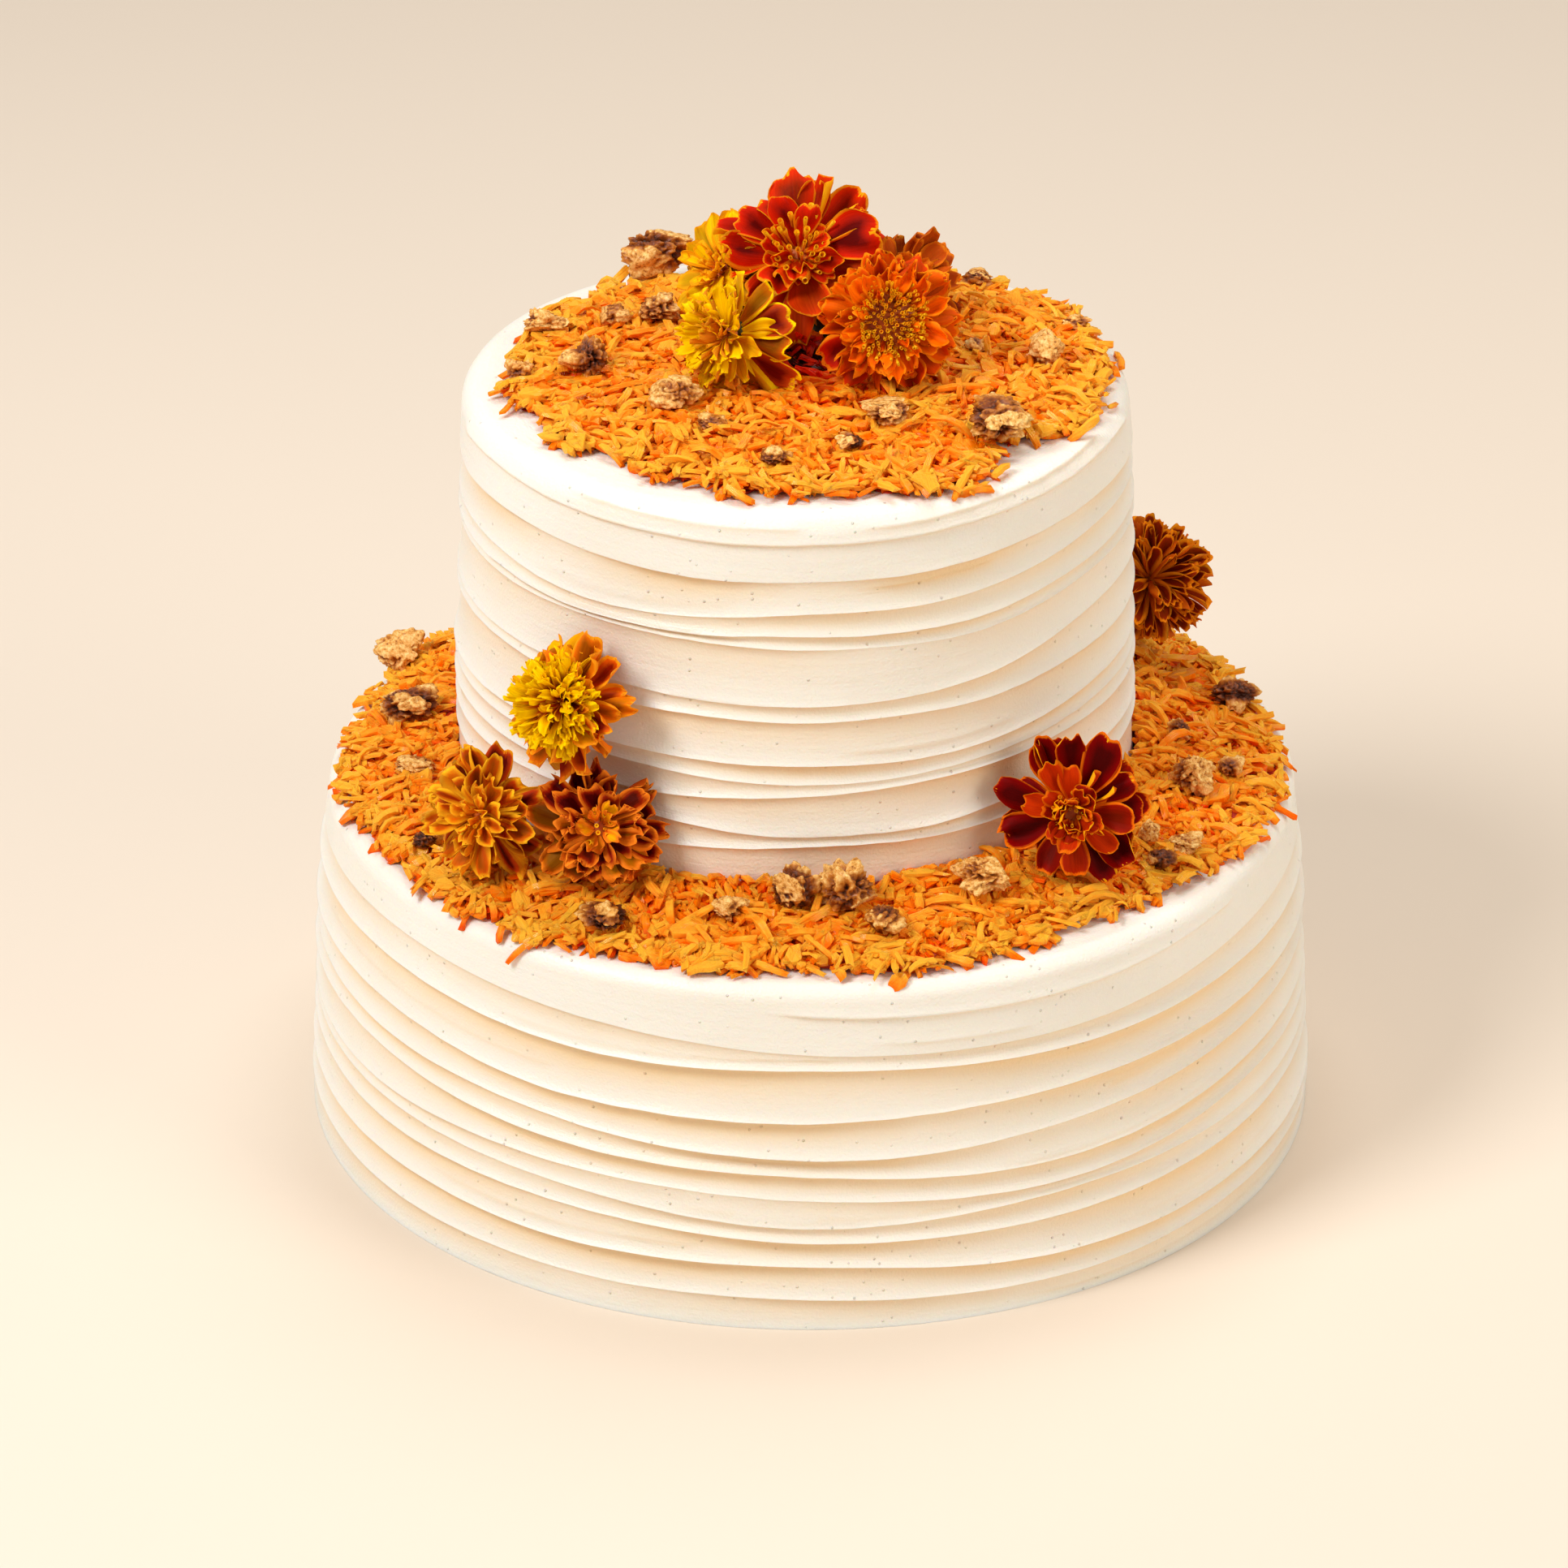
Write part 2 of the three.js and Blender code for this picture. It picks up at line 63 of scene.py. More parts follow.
SWELL_OUT, SWELL_UP = 0.22, 0.12  # how uneven the coat is

# Each ridge: its heights at RIDGE_AZIMUTHS, and how far its lip stands out.
LOWER_TIER = dict(
    node="tier_lower", x=0, floor=0, height=86.4, foot_radius=123.1, wall_top_radius=116.7, shoulder=4,
    columns=440, seed=5,
    ridges=[
        ([8, 7.8, 8, 6, 7], 0.9), ([16.6, 16.2, 16.5, 12.3, 12], 1.6), ([24.8, 25, 22.7, 22, 23.5], 1.4),
        ([30.4, 29.8, 26.2, 28.2, 27.6], 1.0), ([33.4, 34.8, 33.2, 30.8, 34], 1.0),
        ([43, 40.9, 39.5, 36.3, 40], 1.6), ([48.5, 46.3, 43.8, 45.3, 48.5], 1.4),
        ([56, 53, 53.5, 54.8, 55.7], 1.8), ([67.8, 65.4, 66.5, 64.7, 65], 1.8),
        ([76, 73.8, 70.3, 69, 72.5], 0.8),
    ],
    # Short lips: the ridge they follow and how far above it, where they start and end, and their depth.
    short_lips=[
        (9, 9.6, -6, 58, 0.9), (0, -3.4, 22, 80, 0.5), (9, 3.0, 5, 26, 0.4), (8, 2.2, -40, 4, 0.35),
        (7, 5.2, -80, -30, 0.4), (5, 1.4, 20, 52, 0.5), (3, 2.0, -18, 18, 0.35), (1, 3.4, -50, -12, 0.4),
        (1, 3.0, 34, 66, 0.35), (6, 4.4, 30, 62, 0.4), (8, 4.5, 100, 160, 0.5), (4, 3.2, 170, 230, 0.5),
        (2, 2.5, 110, 150, 0.4), (7, 4.0, 215, 262, 0.5),
    ],
)
UPPER_TIER = dict(
    node="tier_upper", x=-3.9, floor=86.7, height=100.3, foot_radius=82, wall_top_radius=78.6, shoulder=5,
    columns=380, seed=9,
    ridges=[
        ([16, 16, 18, 17.8, 19], 1.0), ([23, 23.6, 20.6, 21.4, 24], 1.0), ([28, 28.6, 31, 32.4, 33.4], 1.1),
        ([33, 35.4, 33.8, 34.6, 37], 0.8), ([37, 39, 38.8, 38.2, 42], 1.3),
        ([52.5, 50.5, 49.8, 49.5, 51.5], 1.2), ([55, 54.7, 53.6, 55, 61], 0.9),
        ([69, 69, 67.8, 66.8, 70], 0.7), ([71.3, 70.2, 71, 70.4, 73.8], 1.2),
        ([75, 73.4, 76.4, 76.8, 81], 0.9), ([86.6, 84.8, 84.2, 85.4, 87.8], 1.2),
    ],
    short_lips=[
        (10, 9.2, -80, 80, 0.95), (10, 12.2, 9, 66, 0.7), (10, 12.8, -42, 2, 0.5), (10, -2.4, 10, 36, 0.9),
        (10, 9.6, 95, 250, 0.7), (7, 2.0, -70, -8, 0.4),
        (5, 4.0, -40, 10, 0.3), (4, 3.0, 5, 40, 0.35), (0, 3.0, -5, 30, 0.3), (9, 3.0, -50, -10, 0.3),
        (8, 4.0, 110, 170, 0.5), (3, 3.0, 180, 240, 0.5), (6, 5.0, 90, 140, 0.4), (1, 2.5, 250, 285, 0.4),
    ],
)


def ridge_line(heights, azimuths):
    """A ridge's height at every azimuth: a smooth curve through its knots, blending round the back."""
    steps = 360 // RIDGE_STEP - len(heights) + 1
    knots = list(heights)
    for step in range(1, steps):
        share = step / steps
        blend = heights[-1] + (heights[0] - heights[-1]) * share * share * (3 - 2 * share)
        knots.append(blend + RIDGE_BACK_WAVE * math.sin(2 * math.pi * share) * math.sin(math.pi * share))
    knots = np.array(knots)
    place = (np.degrees(azimuths) - RIDGE_AZIMUTHS[0]) % 360 / RIDGE_STEP
    index = np.floor(place).astype(int)
    t = place - index
    before, start, end, after = [knots[(index + step) % len(knots)] for step in (-1, 0, 1, 2)]
    leaving, arriving = (end - before) / 2, (after - start) / 2
    curve = 3 * (end - start) - 2 * leaving - arriving
    swing = leaving + arriving - 2 * (end - start)
    return start + t * (leaving + t * (curve + t * swing))


def waves(azimuths, random, slowest, fastest, count=5):
    """Uneven waves round the tier, about 1 high, with slowest to fastest crests in a turn."""
    total = np.zeros_like(azimuths)
    for turns in random.integers(slowest, fastest + 1, count):
        total += np.cos(turns * azimuths + random.uniform(0, 2 * math.pi))
    return total / math.sqrt(count / 2)


def tier_profile(tier, along):
    """Radius, height and outward direction at a distance along the wall, over the shoulder and inwards."""
    wall = tier["height"] - tier["shoulder"]
    shoulder = tier["shoulder"]
    angle = np.clip((along - wall) / shoulder, 0, math.pi / 2)
    past = np.clip(along - wall - shoulder * math.pi / 2, 0, None)
    slope = (tier["wall_top_radius"] - tier["foot_radius"]) / tier["height"]
    radius = tier["foot_radius"] + slope * np.minimum(along, wall) - shoulder * (1 - np.cos(angle)) - past
    height = np.minimum(along, wall) + shoulder * np.sin(angle)
    return radius, height, np.cos(angle), np.sin(angle)


def mesh_piece(name, points, faces, smooth_angle=None):
    """A new piece that rides on the cake, from points in millimetres and faces as corner numbers."""
    mesh = bpy.data.meshes.new(name)
    mesh.from_pydata(np.asarray(points) * MM, [], faces)
    mesh.validate()
    mesh.polygons.foreach_set("use_smooth", np.ones(len(mesh.polygons), bool))
    piece = bpy.data.objects.new(name, mesh)
    bpy.context.scene.collection.objects.link(piece)
    if smooth_angle is not None:
        bpy.ops.object.select_all(action="DESELECT")
        piece.select_set(True)
        bpy.context.view_layer.objects.active = piece
        bpy.ops.object.shade_smooth_by_angle(angle=math.radians(smooth_angle))
        piece.select_set(False)
    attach(piece, "root")
    return piece


def point_values(piece, name, values):
    """Stores one number for each point of a piece, for its finish to read."""
    numbers = piece.data.attributes.new(name, "FLOAT", "POINT")
    numbers.data.foreach_set("value", np.asarray(values, float).ravel())


def surface_map(piece, name, places):
    """Stores where each point of a piece lies on its own surface, for a finish that follows it."""
    corners = np.empty(len(piece.data.loops), int)
    piece.data.loops.foreach_get("vertex_index", corners)
    piece.data.uv_layers.new(name=name).data.foreach_set("uv", places.reshape(-1, 2)[corners].ravel())


def ring_faces(rows, columns, first=0):
    """Quads between rows of points, each row a closed ring."""
    row, column = np.meshgrid(np.arange(rows - 1), np.arange(columns), indexing="ij")
    beside = (column + 1) % columns
    corners = [row * columns + column, row * columns + beside, (row + 1) * columns + beside,
               (row + 1) * columns + column]
    return (np.stack(corners, axis=-1).reshape(-1, 4) + first).tolist()


def tier_piece(tier):
    """One iced tier: rows of points up the wall, over the shoulder and inwards on the top."""
    random = np.random.default_rng(tier["seed"])
    columns = tier["columns"]
    azimuths = np.linspace(0, 2 * math.pi, columns, endpoint=False)
    degrees = np.degrees(azimuths)

    def span(start, end, ends=7):
        """1 between two azimuths in degrees, and 0 past them."""
        inside = (degrees - start) % 360
        width = (end - start) % 360
        rise = np.clip(inside / ends, 0, 1) * np.clip((width - inside) / (0.4 * ends), 0, 1)
        return np.where(inside < width, rise * rise * (3 - 2 * rise), 0)

    def short_lips(along, crests):
        """How far the short lips lift the icing, and the painted shade under them, at a distance along the
        wall.
        """
        lift, shade = np.zeros(columns), np.zeros(columns)
        for ridge, above, start, end, lip in tier["short_lips"]:
            over = along - crests[ridge] - above
            reach = lip * span(start, end)
            fade = np.where(over >= 0, SHORT_LIP_ABOVE, SHORT_LIP_UNDER)
            lift += reach * np.exp(-np.abs(over) / fade)
            shade += 0.6 * reach * np.where(over < 0.1, np.exp(-np.abs(over) / SHORT_LIP_SHADE), 0)
        return lift, shade

    crests = []
    for heights, _ in tier["ridges"]:
        line = ridge_line(heights, azimuths)
        unsteady = SLOW_WAVE * waves(azimuths, random, 5, 14)
        crests.append(line + unsteady + FINE_WAVE * waves(azimuths, random, 25, 70, 9))
    rows = []  # each row: distance along the wall, how far out, painted warm shade in a groove, and the stroke's number
    last_crest, last_lip, stroke = np.zeros(columns), np.zeros(columns), 0.0
    for (_, lip), crest in zip(tier["ridges"], crests):
        strength = 1 + 0.2 * waves(azimuths, random, 2, 8)
        strength = np.clip(strength + 0.02 * waves(azimuths, random, 30, 60), 0.4, 1.5)
        out, back = LIP_OUT * lip * strength, LIP_BACK * lip * strength
        depth = np.minimum(LIP_UNDERSIDE, 0.5 * (crest - last_crest))
        groove = crest - depth
        room = float(np.mean(groove - last_crest))
        count = max(FEWEST_BAND_ROWS, round(room / BAND_ROW_GAP))
        # Painted warm shade grows up each band towards the groove under the lip above it.
        for t in ((np.arange(count) + 0.35) / count) ** 1.35:
            along = last_crest + (groove - last_crest) * t
            hollow = 0.62 * (1 - t) ** 1.8 + 0.38 * np.exp((last_crest - along) / LIP_BEAD)
            deep = 0.55 * t ** 1.6 * strength * lip
            rows.append([along, back + (last_lip - back) * hollow, deep, stroke + room * t])
        # The underside of the lip carries painted warm shade too, nearly none at its edge.
        for t in LIP_ROWS:
            share = 0.72 * t ** 2.1 + 0.28 * t ** 9
            deep = (0.55 + 0.25 * t) * strength * lip * (1 if t < 1 else 0.1)
            rows.append([groove + depth * t, back + (out - back) * share, deep, stroke + room + 1.5 * t])
        last_crest, last_lip, stroke = crest, out, stroke + room + 1.5
    wall = tier["height"] - tier["shoulder"]
    rim = wall + tier["shoulder"] * math.pi / 2
    for t in (np.arange(SHOULDER_ROWS) + 0.3) / SHOULDER_ROWS:
        along = last_crest + (rim - last_crest) * t
        rows.append([along, last_lip * (1 - t) ** 2.3, np.zeros(columns), stroke + t * TOP_STROKE])
    top_radius = tier_profile(tier, rim)[0]
    for inset in TOP_INSETS:
        rows.append([np.full(columns, rim + min(inset, top_radius - 4)), np.zeros(columns), np.zeros(columns),
                     stroke + TOP_STROKE + inset])

    swell = [waves(azimuths, random, 1, 5) for _ in range(4)]
    points, painted_groove_shades, strokes = [], [], []
    for along, out, groove, stroke_number in rows:
        radius, height, outward, upward = tier_profile(tier, along)
        level = along / tier["height"] * 3
        uneven = sum(wave * np.clip(1 - abs(level - index), 0, 1) for index, wave in enumerate(swell))
        lift, shade = short_lips(along, crests)
        out = out + lift + SWELL_OUT * uneven * outward + SWELL_UP * uneven * upward
        radius, height = radius + out * outward, height + out * upward
        x, y = tier["x"] + radius * np.sin(azimuths), -radius * np.cos(azimuths)
        points.append(np.stack([x, y, tier["floor"] + height], axis=-1))
        painted_groove_shades.append(groove + shade)
        strokes.append(np.full(columns, stroke_number))
    foot = points[0].copy()
    foot[:, 2] = tier["floor"]
    points = [foot] + points
    faces = ring_faces(len(points), columns)
    flat = np.concatenate(points + [[[tier["x"], 0, tier["floor"]], [tier["x"], 0, points[-1][0, 2]]]])
    bottom, top, last = len(flat) - 2, len(flat) - 1, (len(points) - 1) * columns
    for column in range(columns):
        beside = (column + 1) % columns
        faces.append((bottom, beside, column))
        faces.append((top, last + column, last + beside))
    piece = mesh_piece(tier["node"] + "_icing", flat, faces)
    # The groove values are the painted warm shade that the finish reads.
    point_values(piece, "groove", np.concatenate([np.zeros(columns)] + painted_groove_shades + [np.zeros(2)]))
    point_values(piece, "stroke", np.concatenate([np.zeros(columns)] + strokes + [np.zeros(2)]) * MM)
    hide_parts(tier["node"])
    return piece


def tone(red, green, blue):
    """A colour given as it looks on a screen, for a socket."""
    return tuple(c / 12.92 if c <= 0.04045 else ((c + 0.055) / 1.055) ** 2.4 for c in (red, green, blue)) + (1,)


def add_node(tree, kind, inputs=None, **settings):
    """Adds a shader node. Each input is a value, or the output of another node."""
    made = tree.nodes.new("ShaderNode" + kind)
    for setting, value in settings.items():
        setattr(made, setting, value)
    for place, value in (inputs or {}).items():
        if isinstance(value, bpy.types.NodeSocket):
            tree.links.new(value, made.inputs[place])
        else:
            made.inputs[place].default_value = value
    return made


def patches(tree, place, scale, detail=2.0, roughness=0.5):
    """Soft patches, mostly from 0.3 to 0.7: the scale is about how many there are in a metre."""
    inputs = {"Vector": place, "Scale": scale, "Detail": detail, "Roughness": roughness}
    return add_node(tree, "TexNoise", inputs).outputs["Fac"]


def stored(tree, name):
    """The number that each point of a piece holds under a name."""
    return add_node(tree, "Attribute", attribute_name=name).outputs["Fac"]


def weighed(tree, value, weight, added):
    """A value times a weight, and another value added."""
    return add_node(tree, "Math", {0: value, 1: weight, 2: added}, operation="MULTIPLY_ADD").outputs[0]


def spread(tree, value, low, high, start=0.0, end=1.0):
    """A value from low to high, made to run from start to end and held there past them."""
    inputs = {"Value": value, "From Min": low, "From Max": high, "To Min": start, "To Max": end}
    return add_node(tree, "MapRange", inputs).outputs["Result"]


def place_on(tree):
    """Where a point of the cake is, in metres."""
    return add_node(tree, "TexCoord").outputs["Object"]


def new_finish(name, values):
    """A material and its tree, with values set on the shader's own sockets."""
    material = bpy.data.materials.new(name)
    material.use_nodes = True
    for socket, value in values.items():
        material.node_tree.nodes["Principled BSDF"].inputs[socket].default_value = value
    return material, material.node_tree


def lay_on(tree, colour, relief, roughness=None):
    """Gives a finish its colour and relief, and its roughness where that varies."""
    shader = tree.nodes["Principled BSDF"]
    tree.links.new(colour, shader.inputs["Base Color"])
    tree.links.new(relief, shader.inputs["Normal"])
    if roughness is not None:
        tree.links.new(roughness, shader.inputs["Roughness"])


def ramp(tree, factor, stops):
    """A colour that changes with a factor, from stops of (place, colour)."""
    made = add_node(tree, "ValToRGB", {"Fac": factor})
    while len(made.color_ramp.elements) < len(stops):
        made.color_ramp.elements.new(0.5)
    for element, (place, colour) in zip(made.color_ramp.elements, stops):
        element.position = place
        element.color = colour
    return made.outputs["Color"]


def blended(tree, factor, first, second, blend="MIX"):
    """One colour over another."""
    inputs = {0: factor, 6: first, 7: second}
    return add_node(tree, "Mix", inputs, data_type="RGBA", blend_type=blend).outputs[2]


def bumped(tree, height, strength, depth, under=None):
    """Relief from a height, over relief that is already there. The depth is in metres."""
    inputs = {"Height": height, "Strength": strength, "Distance": depth}
    if under is not None:
        inputs["Normal"] = under
    return add_node(tree, "Bump", inputs).outputs["Normal"]


# The finish of the icing: cream that lets light in a little, with painted warm shade in the grooves, and the
# knife's fine streaks along the strokes, a soft grain, and a few popped air bubbles.
icing_finish, tree = new_finish("cream_icing", {
    "Roughness": 0.4, "Specular IOR Level": 0.45,
    "Subsurface Weight": 0.3, "Subsurface Radius": (1.0, 0.55, 0.3), "Subsurface Scale": 0.004,
})
place = place_on(tree)
split = add_node(tree, "SeparateXYZ", {0: place}).outputs
steep = add_node(tree, "Math", {0: stored(tree, "stroke"), 1: 9.0}, operation="MULTIPLY").outputs[0]
along_stroke = add_node(tree, "CombineXYZ", {"X": split["X"], "Y": split["Y"], "Z": steep}).outputs[0]
streaks = patches(tree, along_stroke, 60.0, 3.0, 0.55)
grain = patches(tree, place, 1500.0)
bubbles = add_node(tree, "TexVoronoi", {"Vector": place, "Scale": 330.0, "Randomness": 1.0}).outputs["Distance"]
bubble_caps = spread(tree, bubbles, 0.03, 0.12, 1.0, 0.0)
some_bubbles = spread(tree, patches(tree, place, 75.0, 1.0), 0.42, 0.55)
bubble_height = add_node(tree, "Math", {0: bubble_caps, 1: some_bubbles}, operation="MULTIPLY").outputs[0]
# Painted warm shade: the groove values blend the cream towards a warm tone.
painted_warm_shade = spread(tree, stored(tree, "groove"), 0.0, 1.1, 0.0, 0.75)
clouds = patches(tree, place, 22.0)
cream = ramp(tree, clouds, [(0.3, tone(0.92, 0.905, 0.865)), (0.7, tone(0.935, 0.925, 0.895))])
relief = bumped(tree, streaks, 0.4, 0.0006)
relief = bumped(tree, bubble_height, 0.9, 0.0005, relief)
relief = bumped(tree, grain, 0.55, 0.0003, relief)
lay_on(tree, blended(tree, painted_warm_shade, cream, tone(0.92, 0.77, 0.53)), relief)

for tier in (LOWER_TIER, UPPER_TIER):
    tier_piece(tier).data.materials.append(icing_finish)


# ---- The beds of grated carrot -------------------------------------------------------------------------
# Carrot grated on a coarse grater, heaped on the top and against the wall on the ledge: moist strips and
# torn flakes that lie over each other. Under them is a core, coloured deep orange as painted shade between the
# shreds.
TUFT_SIZE, TUFT_REACH, EDGE_INSET = 4.5, 4.5, 0.8  # the ragged edge of a bed
CLUMP_SIZE, LUMP_SIZE, LUMP_RISE = 4.8, 2.6, 0.55  # the clumps of the heap, and the smaller lumps of its core
CORE_COLUMNS, CORE_ROWS = 200, 24
CORE_INSET, CORE_SINK, RIM_SINK = 4.2, 0.75, 1.2  # how far the core stays in and under the shreds
LIE_PATCH = 9  # the size of a patch of shreds that lie one way
LAYER_FLOOR, LAYER_DEPTH = -0.9, 3.0  # where the shreds lie, from the heap's surface
# The rise behind the flowers, and the painted shade on the shreds under them: how strong, where its middle is,
# and how wide.
REAR_MOUND = (3.4, 36, 22, 700)
PAINTED_FLOWER_SHADE = (1.3, 1, -2, 190)

# Each bed's outline: an azimuth in degrees, and how far the shreds reach there.
TOP_BED = dict(
    node="carrot_top", x=-0.8, floor=187.3, wall_radius=0, inner_height=4.2, edge_height=1.3, seed=21,
    tier=UPPER_TIER, strips=4300, flakes=1000, slivers=2200,
    outline=[
        (0, 70), (10, 71.5), (17, 73.5), (27, 74.5), (37, 74.5), (42, 66), (47, 58), (53, 65), (60, 72.5),
        (68, 72), (80, 71), (90, 72.5), (99, 73), (110, 72), (122, 74), (133, 71), (143, 68.5), (160, 69),
        (180, 67), (200, 69.5), (216, 67), (230, 71.5), (240, 72), (255, 70), (270, 72), (282, 73), (295, 70.5),
        (309, 71.5), (318, 66.5), (327, 71), (338, 71), (347, 72.5), (354, 70),
    ],
)
LEDGE_BED = dict(
    node="carrot_ledge", x=0, floor=86.7, wall_radius=82.2, wall_x=-3.9, front_height=8.8, back_height=6.6,
    edge_height=1.3, seed=33, tier=LOWER_TIER, strips=5400, flakes=1300, slivers=2800,
    outline=[
        (0, 112), (8, 115), (15, 115), (25, 110), (35, 107.5), (45, 109.5), (60, 112), (70, 116), (80, 116),
        (90, 117), (105, 113), (120, 115), (135, 111.5), (150, 114.5), (165, 112), (180, 114), (195, 111.5),
        (210, 114.5), (225, 112), (240, 115), (255, 113), (270, 115.5), (285, 115), (300, 114), (310, 116),
        (325, 116), (333, 114), (340, 113.5), (350, 112),
    ],
)


def lumpy(x, y, size, bed):
    """Lumps of about one size over the plane, from about -0.5 to 0.5, a pattern of its own for each bed."""
    return np.array([noise.noise(Vector((a / size, b / size, bed["seed"]))) for a, b in zip(x, y)])


def spot_of(x, y, strength, middle_x, middle_y, width):
    """A round patch that fades out from its middle."""
    return strength * np.exp(-((x - middle_x) ** 2 + (y - middle_y) ** 2) / width)


def outline_radius(bed, azimuths):
    """How far the bed reaches at each azimuth: a ragged edge of small tufts and bays."""
    knots = np.array(bed["outline"], float)
    reach = np.interp(np.degrees(azimuths) % 360, knots[:, 0], knots[:, 1], period=360)
    tufts = lumpy(reach * np.sin(azimuths), reach * np.cos(azimuths), TUFT_SIZE, bed)
    return reach + TUFT_REACH * tufts - EDGE_INSET


def inner_radius(bed, azimuths):
    """Where the bed meets the wall of the tier above it, seen from the bed's own middle."""
    if not bed["wall_radius"]:
        return np.zeros_like(azimuths)
    half_chord = np.sqrt(bed["wall_radius"] ** 2 - (bed["wall_x"] * np.cos(azimuths)) ** 2)
    return bed["wall_x"] * np.sin(azimuths) + half_chord


def icing_drop(tier, x, y):
    """How far the icing under a bed has fallen away towards the tier's shoulder."""
    flare = tier["foot_radius"] - tier["wall_top_radius"]
    edge = tier["wall_top_radius"] + flare * tier["shoulder"] / tier["height"]
    past = np.clip(np.hypot(x - tier["x"], y) - edge + tier["shoulder"], 0, tier["shoulder"] * 0.97)
    return tier["shoulder"] - np.sqrt(tier["shoulder"] ** 2 - past ** 2)


def bed_height(bed, x, y):
    """The heap's height over the tier's flat top, at points in the plane."""
    azimuths = np.arctan2(x - bed["x"], -y)
    outside = outline_radius(bed, azimuths)
    inside = inner_radius(bed, azimuths)
    share = np.clip((np.hypot(x - bed["x"], y) - inside) / (outside - inside), 0, 1.15)
    clumps = lumpy(x, y, CLUMP_SIZE, bed)
    if bed["wall_radius"] == 0:
        heap = bed["inner_height"] + (bed["edge_height"] - bed["inner_height"]) * share ** 4
        heap += spot_of(x, y, *REAR_MOUND) * np.clip(1.1 - share, 0, 1) ** 0.5
    else:
        front = np.clip(0.5 - y / 120, 0, 1)
        front = front * front * (3 - 2 * front)
        at_wall = bed["back_height"] + (bed["front_height"] - bed["back_height"]) * front
        heap = at_wall + (bed["edge_height"] - at_wall) * share ** 0.9
    return heap + clumps * np.clip(4.2 - 3.2 * share, 0.7, 2.2) - icing_drop(bed["tier"], x, y)


def bed_core(bed):
    """The heap under the shreds: rings of a lumpy mound, closed underneath."""
    azimuths = np.linspace(0, 2 * math.pi, CORE_COLUMNS, endpoint=False)
    edge = outline_radius(bed, azimuths) - CORE_INSET
    inside = np.maximum(inner_radius(bed, azimuths), 1.0)
    rings = []
    for share in np.linspace(1, 0, CORE_ROWS):
        radius = inside + (edge - inside) * share
        x, y = bed["x"] + radius * np.sin(azimuths), -radius * np.cos(azimuths)
        lumps = LUMP_RISE * lumpy(x, y, LUMP_SIZE, bed)
        sink = CORE_SINK + (RIM_SINK if share == 1 else 0)
        rings.append(np.stack([x, y, bed["floor"] + bed_height(bed, x, y) - sink + lumps], axis=-1))
    rim, crown = rings[0].copy(), rings[-1].copy()
    rim[:, 2] = bed["floor"] + 0.1 - icing_drop(bed["tier"], rim[:, 0], rim[:, 1])
    crown[:, 2] = bed["floor"] + 0.1
    faces = ring_faces(len(rings) + 2, CORE_COLUMNS)
    last = (len(rings) + 1) * CORE_COLUMNS
    for column in range(CORE_COLUMNS):
        beside = (column + 1) % CORE_COLUMNS
        faces.append([last + column, last + beside, beside, column])
    piece = mesh_piece(bed["node"] + "_core", np.concatenate([rim] + rings + [crown]), faces)
    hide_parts(bed["node"])
    return piece


def lay_shreds(bed, random, half_length, count):
    """Where shreds lie, their three directions, how high up in the heap they are, and the painted shade and
    light on them.
    """
    golden_turn = math.pi * (3 - math.sqrt(5))
    index = np.arange(count)
    azimuths = index * golden_turn + random.normal(0, 0.05, count)
    turn = random.uniform(0, math.pi, count)
    reach = half_length * np.abs(np.cos(turn - azimuths + math.pi / 2))
    strays = np.where(random.uniform(0, 1, count) < 0.06, 2.2, 0)
    outside = outline_radius(bed, azimuths) - 0.85 * reach + strays
    inside = inner_radius(bed, azimuths) + (0.25 * reach if bed["wall_radius"] else 0)
    area = random.permutation((index + random.uniform(0, 1, count)) / count)
    radius = np.sqrt(inside ** 2 + (outside ** 2 - inside ** 2) * area)
    x, y = bed["x"] + radius * np.sin(azimuths), -radius * np.cos(azimuths)
    lie = lumpy(x, y, LIE_PATCH, bed) * 7
    turn = np.where(random.uniform(0, 1, count) < 0.6, lie + random.normal(0, 0.4, count), turn)
    slope_x = (bed_height(bed, x + 2, y) - bed_height(bed, x - 2, y)) / 4
    slope_y = (bed_height(bed, x, y + 2) - bed_height(bed, x, y - 2)) / 4
    up = np.stack([-slope_x, -slope_y, np.ones(count)], axis=-1)
    tilt = random.normal(0, 0.16, (count, 3)) * (1, 1, 0)
    up += tilt * np.where(random.uniform(0, 1, (count, 1)) < 0.08, 3.5, 1)  # a few stand up
    up /= np.linalg.norm(up, axis=1)[:, None]
    ahead = np.stack([np.cos(turn), np.sin(turn), np.zeros(count)], axis=-1)
    ahead -= up * np.sum(ahead * up, axis=1)[:, None]
    ahead /= np.linalg.norm(ahead, axis=1)[:, None]
    aside = np.cross(up, ahead)
    layer = random.beta(1.1, 2.2, count)
    z = bed["floor"] + bed_height(bed, x, y) + LAYER_FLOOR + LAYER_DEPTH * layer
    shade = -0.4 * np.clip(1 - (outside - radius) / 7, 0, 1)  # painted light: the edge is made brighter, as if lit by the icing
    # On the top bed, painted shade darkens the shreds under the flowers.
    if bed["wall_radius"] == 0:
        shade += spot_of(x, y, *PAINTED_FLOWER_SHADE)
    return np.stack([x, y, z], axis=-1), ahead, aside, up, layer, shade


def tint_with_painted_light_and_shade(random, ripeness, shapes, centre, layer, shade):
    """Each point's tint: its own ripeness, paler with painted light where the shred stands up out of the heap
    and on its upper side, darker with painted shade low in the heap, on its underside, and where it is shaded.
    """
    own = random.normal(ripeness, 0.10, len(layer))[:, None]
    lit = 0.95 * (layer[:, None] - 0.31) + 0.2 * (shapes[..., 2] - centre[:, None, 2])
    return own + np.clip(lit, -0.5, 0.42) - shade[:, None]


